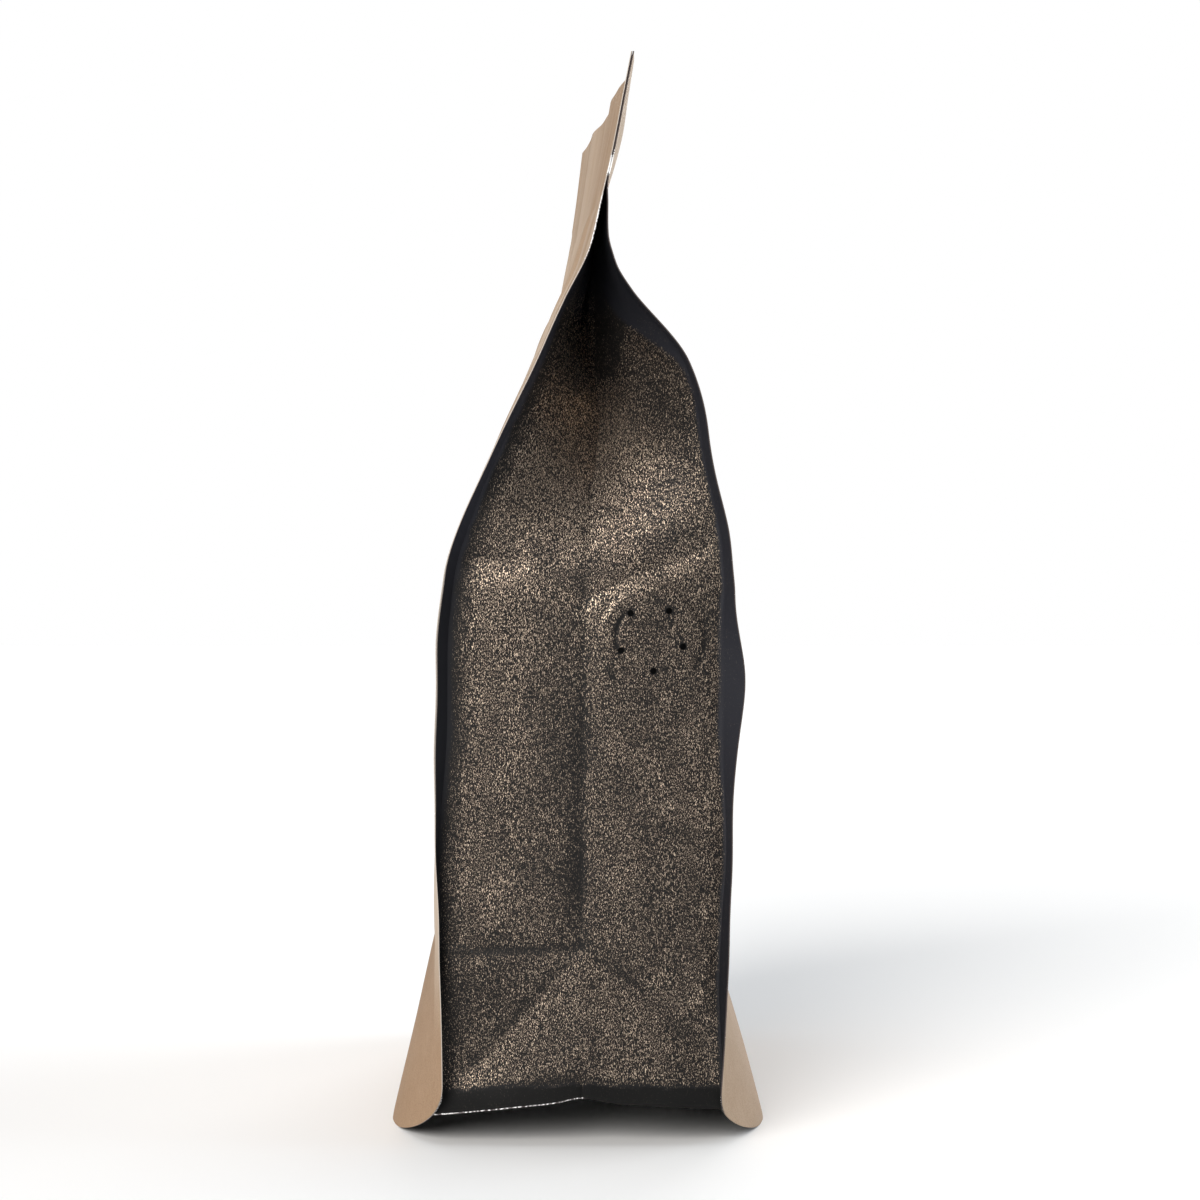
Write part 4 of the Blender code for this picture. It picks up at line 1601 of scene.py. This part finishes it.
@dataclass
class Studio:
    """Plain pale floor, soft lights and the camera."""

    lamps: tuple[Lamp, ...] = (
        Lamp("key", (1.0, -0.5, 0.62), 3.0, 36.0, (1.0, 0.97, 0.93)),
        Lamp("left", (-0.2, -1.0, 0.25), 0.4, 50.0),
        Lamp("right", (-0.2, 1.0, 0.3), 1.7, 50.0, (0.87, 0.94, 1.0)),
        Lamp("behind", (-1.0, 0.2, 0.3), 1.4, 40.0),
        Lamp("top", (0.0, 0.0, 1.0), 0.85, 50.0, (0.94, 0.97, 1.0)),
    )

    target_y: float = 5.0 * MM
    distance: float = 540.0 * MM
    eye_height: float = 132.5 * MM
    pitch: float = math.radians(1.014)
    lens: float = 72.9
    surround: float = 0.16

    def floor(self) -> None:
        """A wide pale floor."""
        half = 3.0
        mesh = bpy.data.meshes.new("studio_floor")
        corners = [(-half, -half, 0.0), (half, -half, 0.0), (half, half, 0.0), (-half, half, 0.0)]
        mesh.from_pydata(corners, [], [(0, 1, 2, 3)])
        material = bpy.data.materials.new("studio_floor")
        material.use_nodes = True
        shader = material.node_tree.nodes["Principled BSDF"]
        shader.inputs["Base Color"].default_value = (0.9, 0.9, 0.9, 1.0)
        shader.inputs["Roughness"].default_value = 0.9
        shader.inputs["Specular IOR Level"].default_value = 0.1
        mesh.materials.append(material)
        floor = bpy.data.objects.new("studio_floor", mesh)
        bpy.context.scene.collection.objects.link(floor)

    def light(self, lamp: Lamp) -> None:
        """Hangs one lamp, turned to shine from its source.

        Args:
            lamp: Which lamp.
        """
        data = bpy.data.lights.new(lamp.name, "SUN")
        data.angle = math.radians(lamp.softness)
        data.energy = lamp.power
        data.color = lamp.colour
        made = bpy.data.objects.new(lamp.name, data)
        made.rotation_euler = (-Vector(lamp.source)).to_track_quat("-Z", "Y").to_euler()
        bpy.context.scene.collection.objects.link(made)

    def world(self) -> None:
        """A white surround that lights the bag only faintly."""
        world = bpy.data.worlds.new("studio_world")
        world.use_nodes = True
        nodes = Nodes(world.node_tree)
        seen = nodes.add("LightPath").outputs["Is Camera Ray"]
        background = world.node_tree.nodes["Background"]
        background.inputs["Color"].default_value = (1.0, 1.0, 1.0, 1.0)
        strength = nodes.band(seen, 0.0, 1.0, self.surround, 1.0)
        world.node_tree.links.new(strength, background.inputs["Strength"])
        bpy.context.scene.world = world

    def camera(self) -> None:
        """The camera, square to the gusset with the valve."""
        data = bpy.data.cameras.new("camera")
        data.lens = self.lens
        data.sensor_width = 36.0
        data.clip_start = 0.01
        camera = bpy.data.objects.new("camera", data)
        camera.location = (0.068 + self.distance, self.target_y, self.eye_height)
        camera.rotation_euler = (math.pi / 2 - self.pitch, 0.0, math.pi / 2)
        bpy.context.scene.collection.objects.link(camera)
        bpy.context.scene.camera = camera

    def build(self) -> None:
        """Sets the whole studio up."""
        self.floor()
        self.world()
        for lamp in self.lamps:
            self.light(lamp)
        self.camera()
        bpy.context.scene.view_settings.view_transform = "Standard"


def main() -> None:
    """Builds the studio and every piece of the bag, in order."""
    logging.basicConfig(level=logging.INFO, format="%(message)s")
    form = BagForm.from_frame()
    Studio().build()
    foil = CloudedFinish("foil_liner", shade=(0.5616, 0.5616, 0.5544), colour=(0.78, 0.78, 0.77),
                         metallic=1.0, roughness=(0.25, 0.5), relief_size=1.6 * MM,
                         relief_octaves=(3.0, 0.6), relief_strength=0.4,
                         relief_depth=0.2 * MM).make()
    front_paper = KraftPaper("kraft_front").make()
    # The back panel's kraft is painted lighter and less warm than the front's: a lit copy of the same
    # paper.
    lit_back_paper = KraftPaper("kraft_back", colour=(0.395, 0.278, 0.185),
                            light=(0.49, 0.362, 0.255), dark=(0.295, 0.196, 0.12)).make()
    pale_edge = CutEdge("kraft_pale_edge").make()
    # The back panel's cut edge is painted near black: painted shade on the same paper edge that is
    # pale in front.
    shaded_edge = CutEdge("kraft_shaded_edge", dull=(0.09, 0.07, 0.06)).make()
    film_edge = CutEdge("film_cut_edge", dull=(0.05, 0.032, 0.034), share=0.0).make()
    film = GrainedFilm("grained_film", specular=0.2).make()
    plain = CloudedFinish("plain_film", specular=0.3).make()
    KraftPanel(form, Face.FRONT, "front_kraft", "front_panel", "kraft_front",
               [front_paper, foil, pale_edge]).build()
    KraftPanel(form, Face.BACK, "back_kraft", "back_panel", "kraft_back",
               [lit_back_paper, foil, shaded_edge]).build()
    for side, name in ((Side.VALVE, "valve_gusset"), (Side.PLAIN, "plain_gusset")):
        GussetFilm(form, side, name, [film, plain, film_edge]).build()
    BaseTray(form, [plain]).build()
    TopSeal(form, [foil, foil, film_edge]).build()
    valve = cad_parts["degassing_valve"]
    # The valve's black plastic is made darker still, so that the pinholes read as painted shade.
    darkened_plastic = CloudedFinish("valve_plastic", specular=0.1, shade=(0.00352, 0.00352, 0.00396),
                            colour=(0.004, 0.004, 0.0045), contrast=1.0, roughness=(0.35, 0.5),
                            relief_strength=0.0).make()
    for place in valve.material_slots:
        place.material = darkened_plastic


if __name__ == "__main__":
    main()
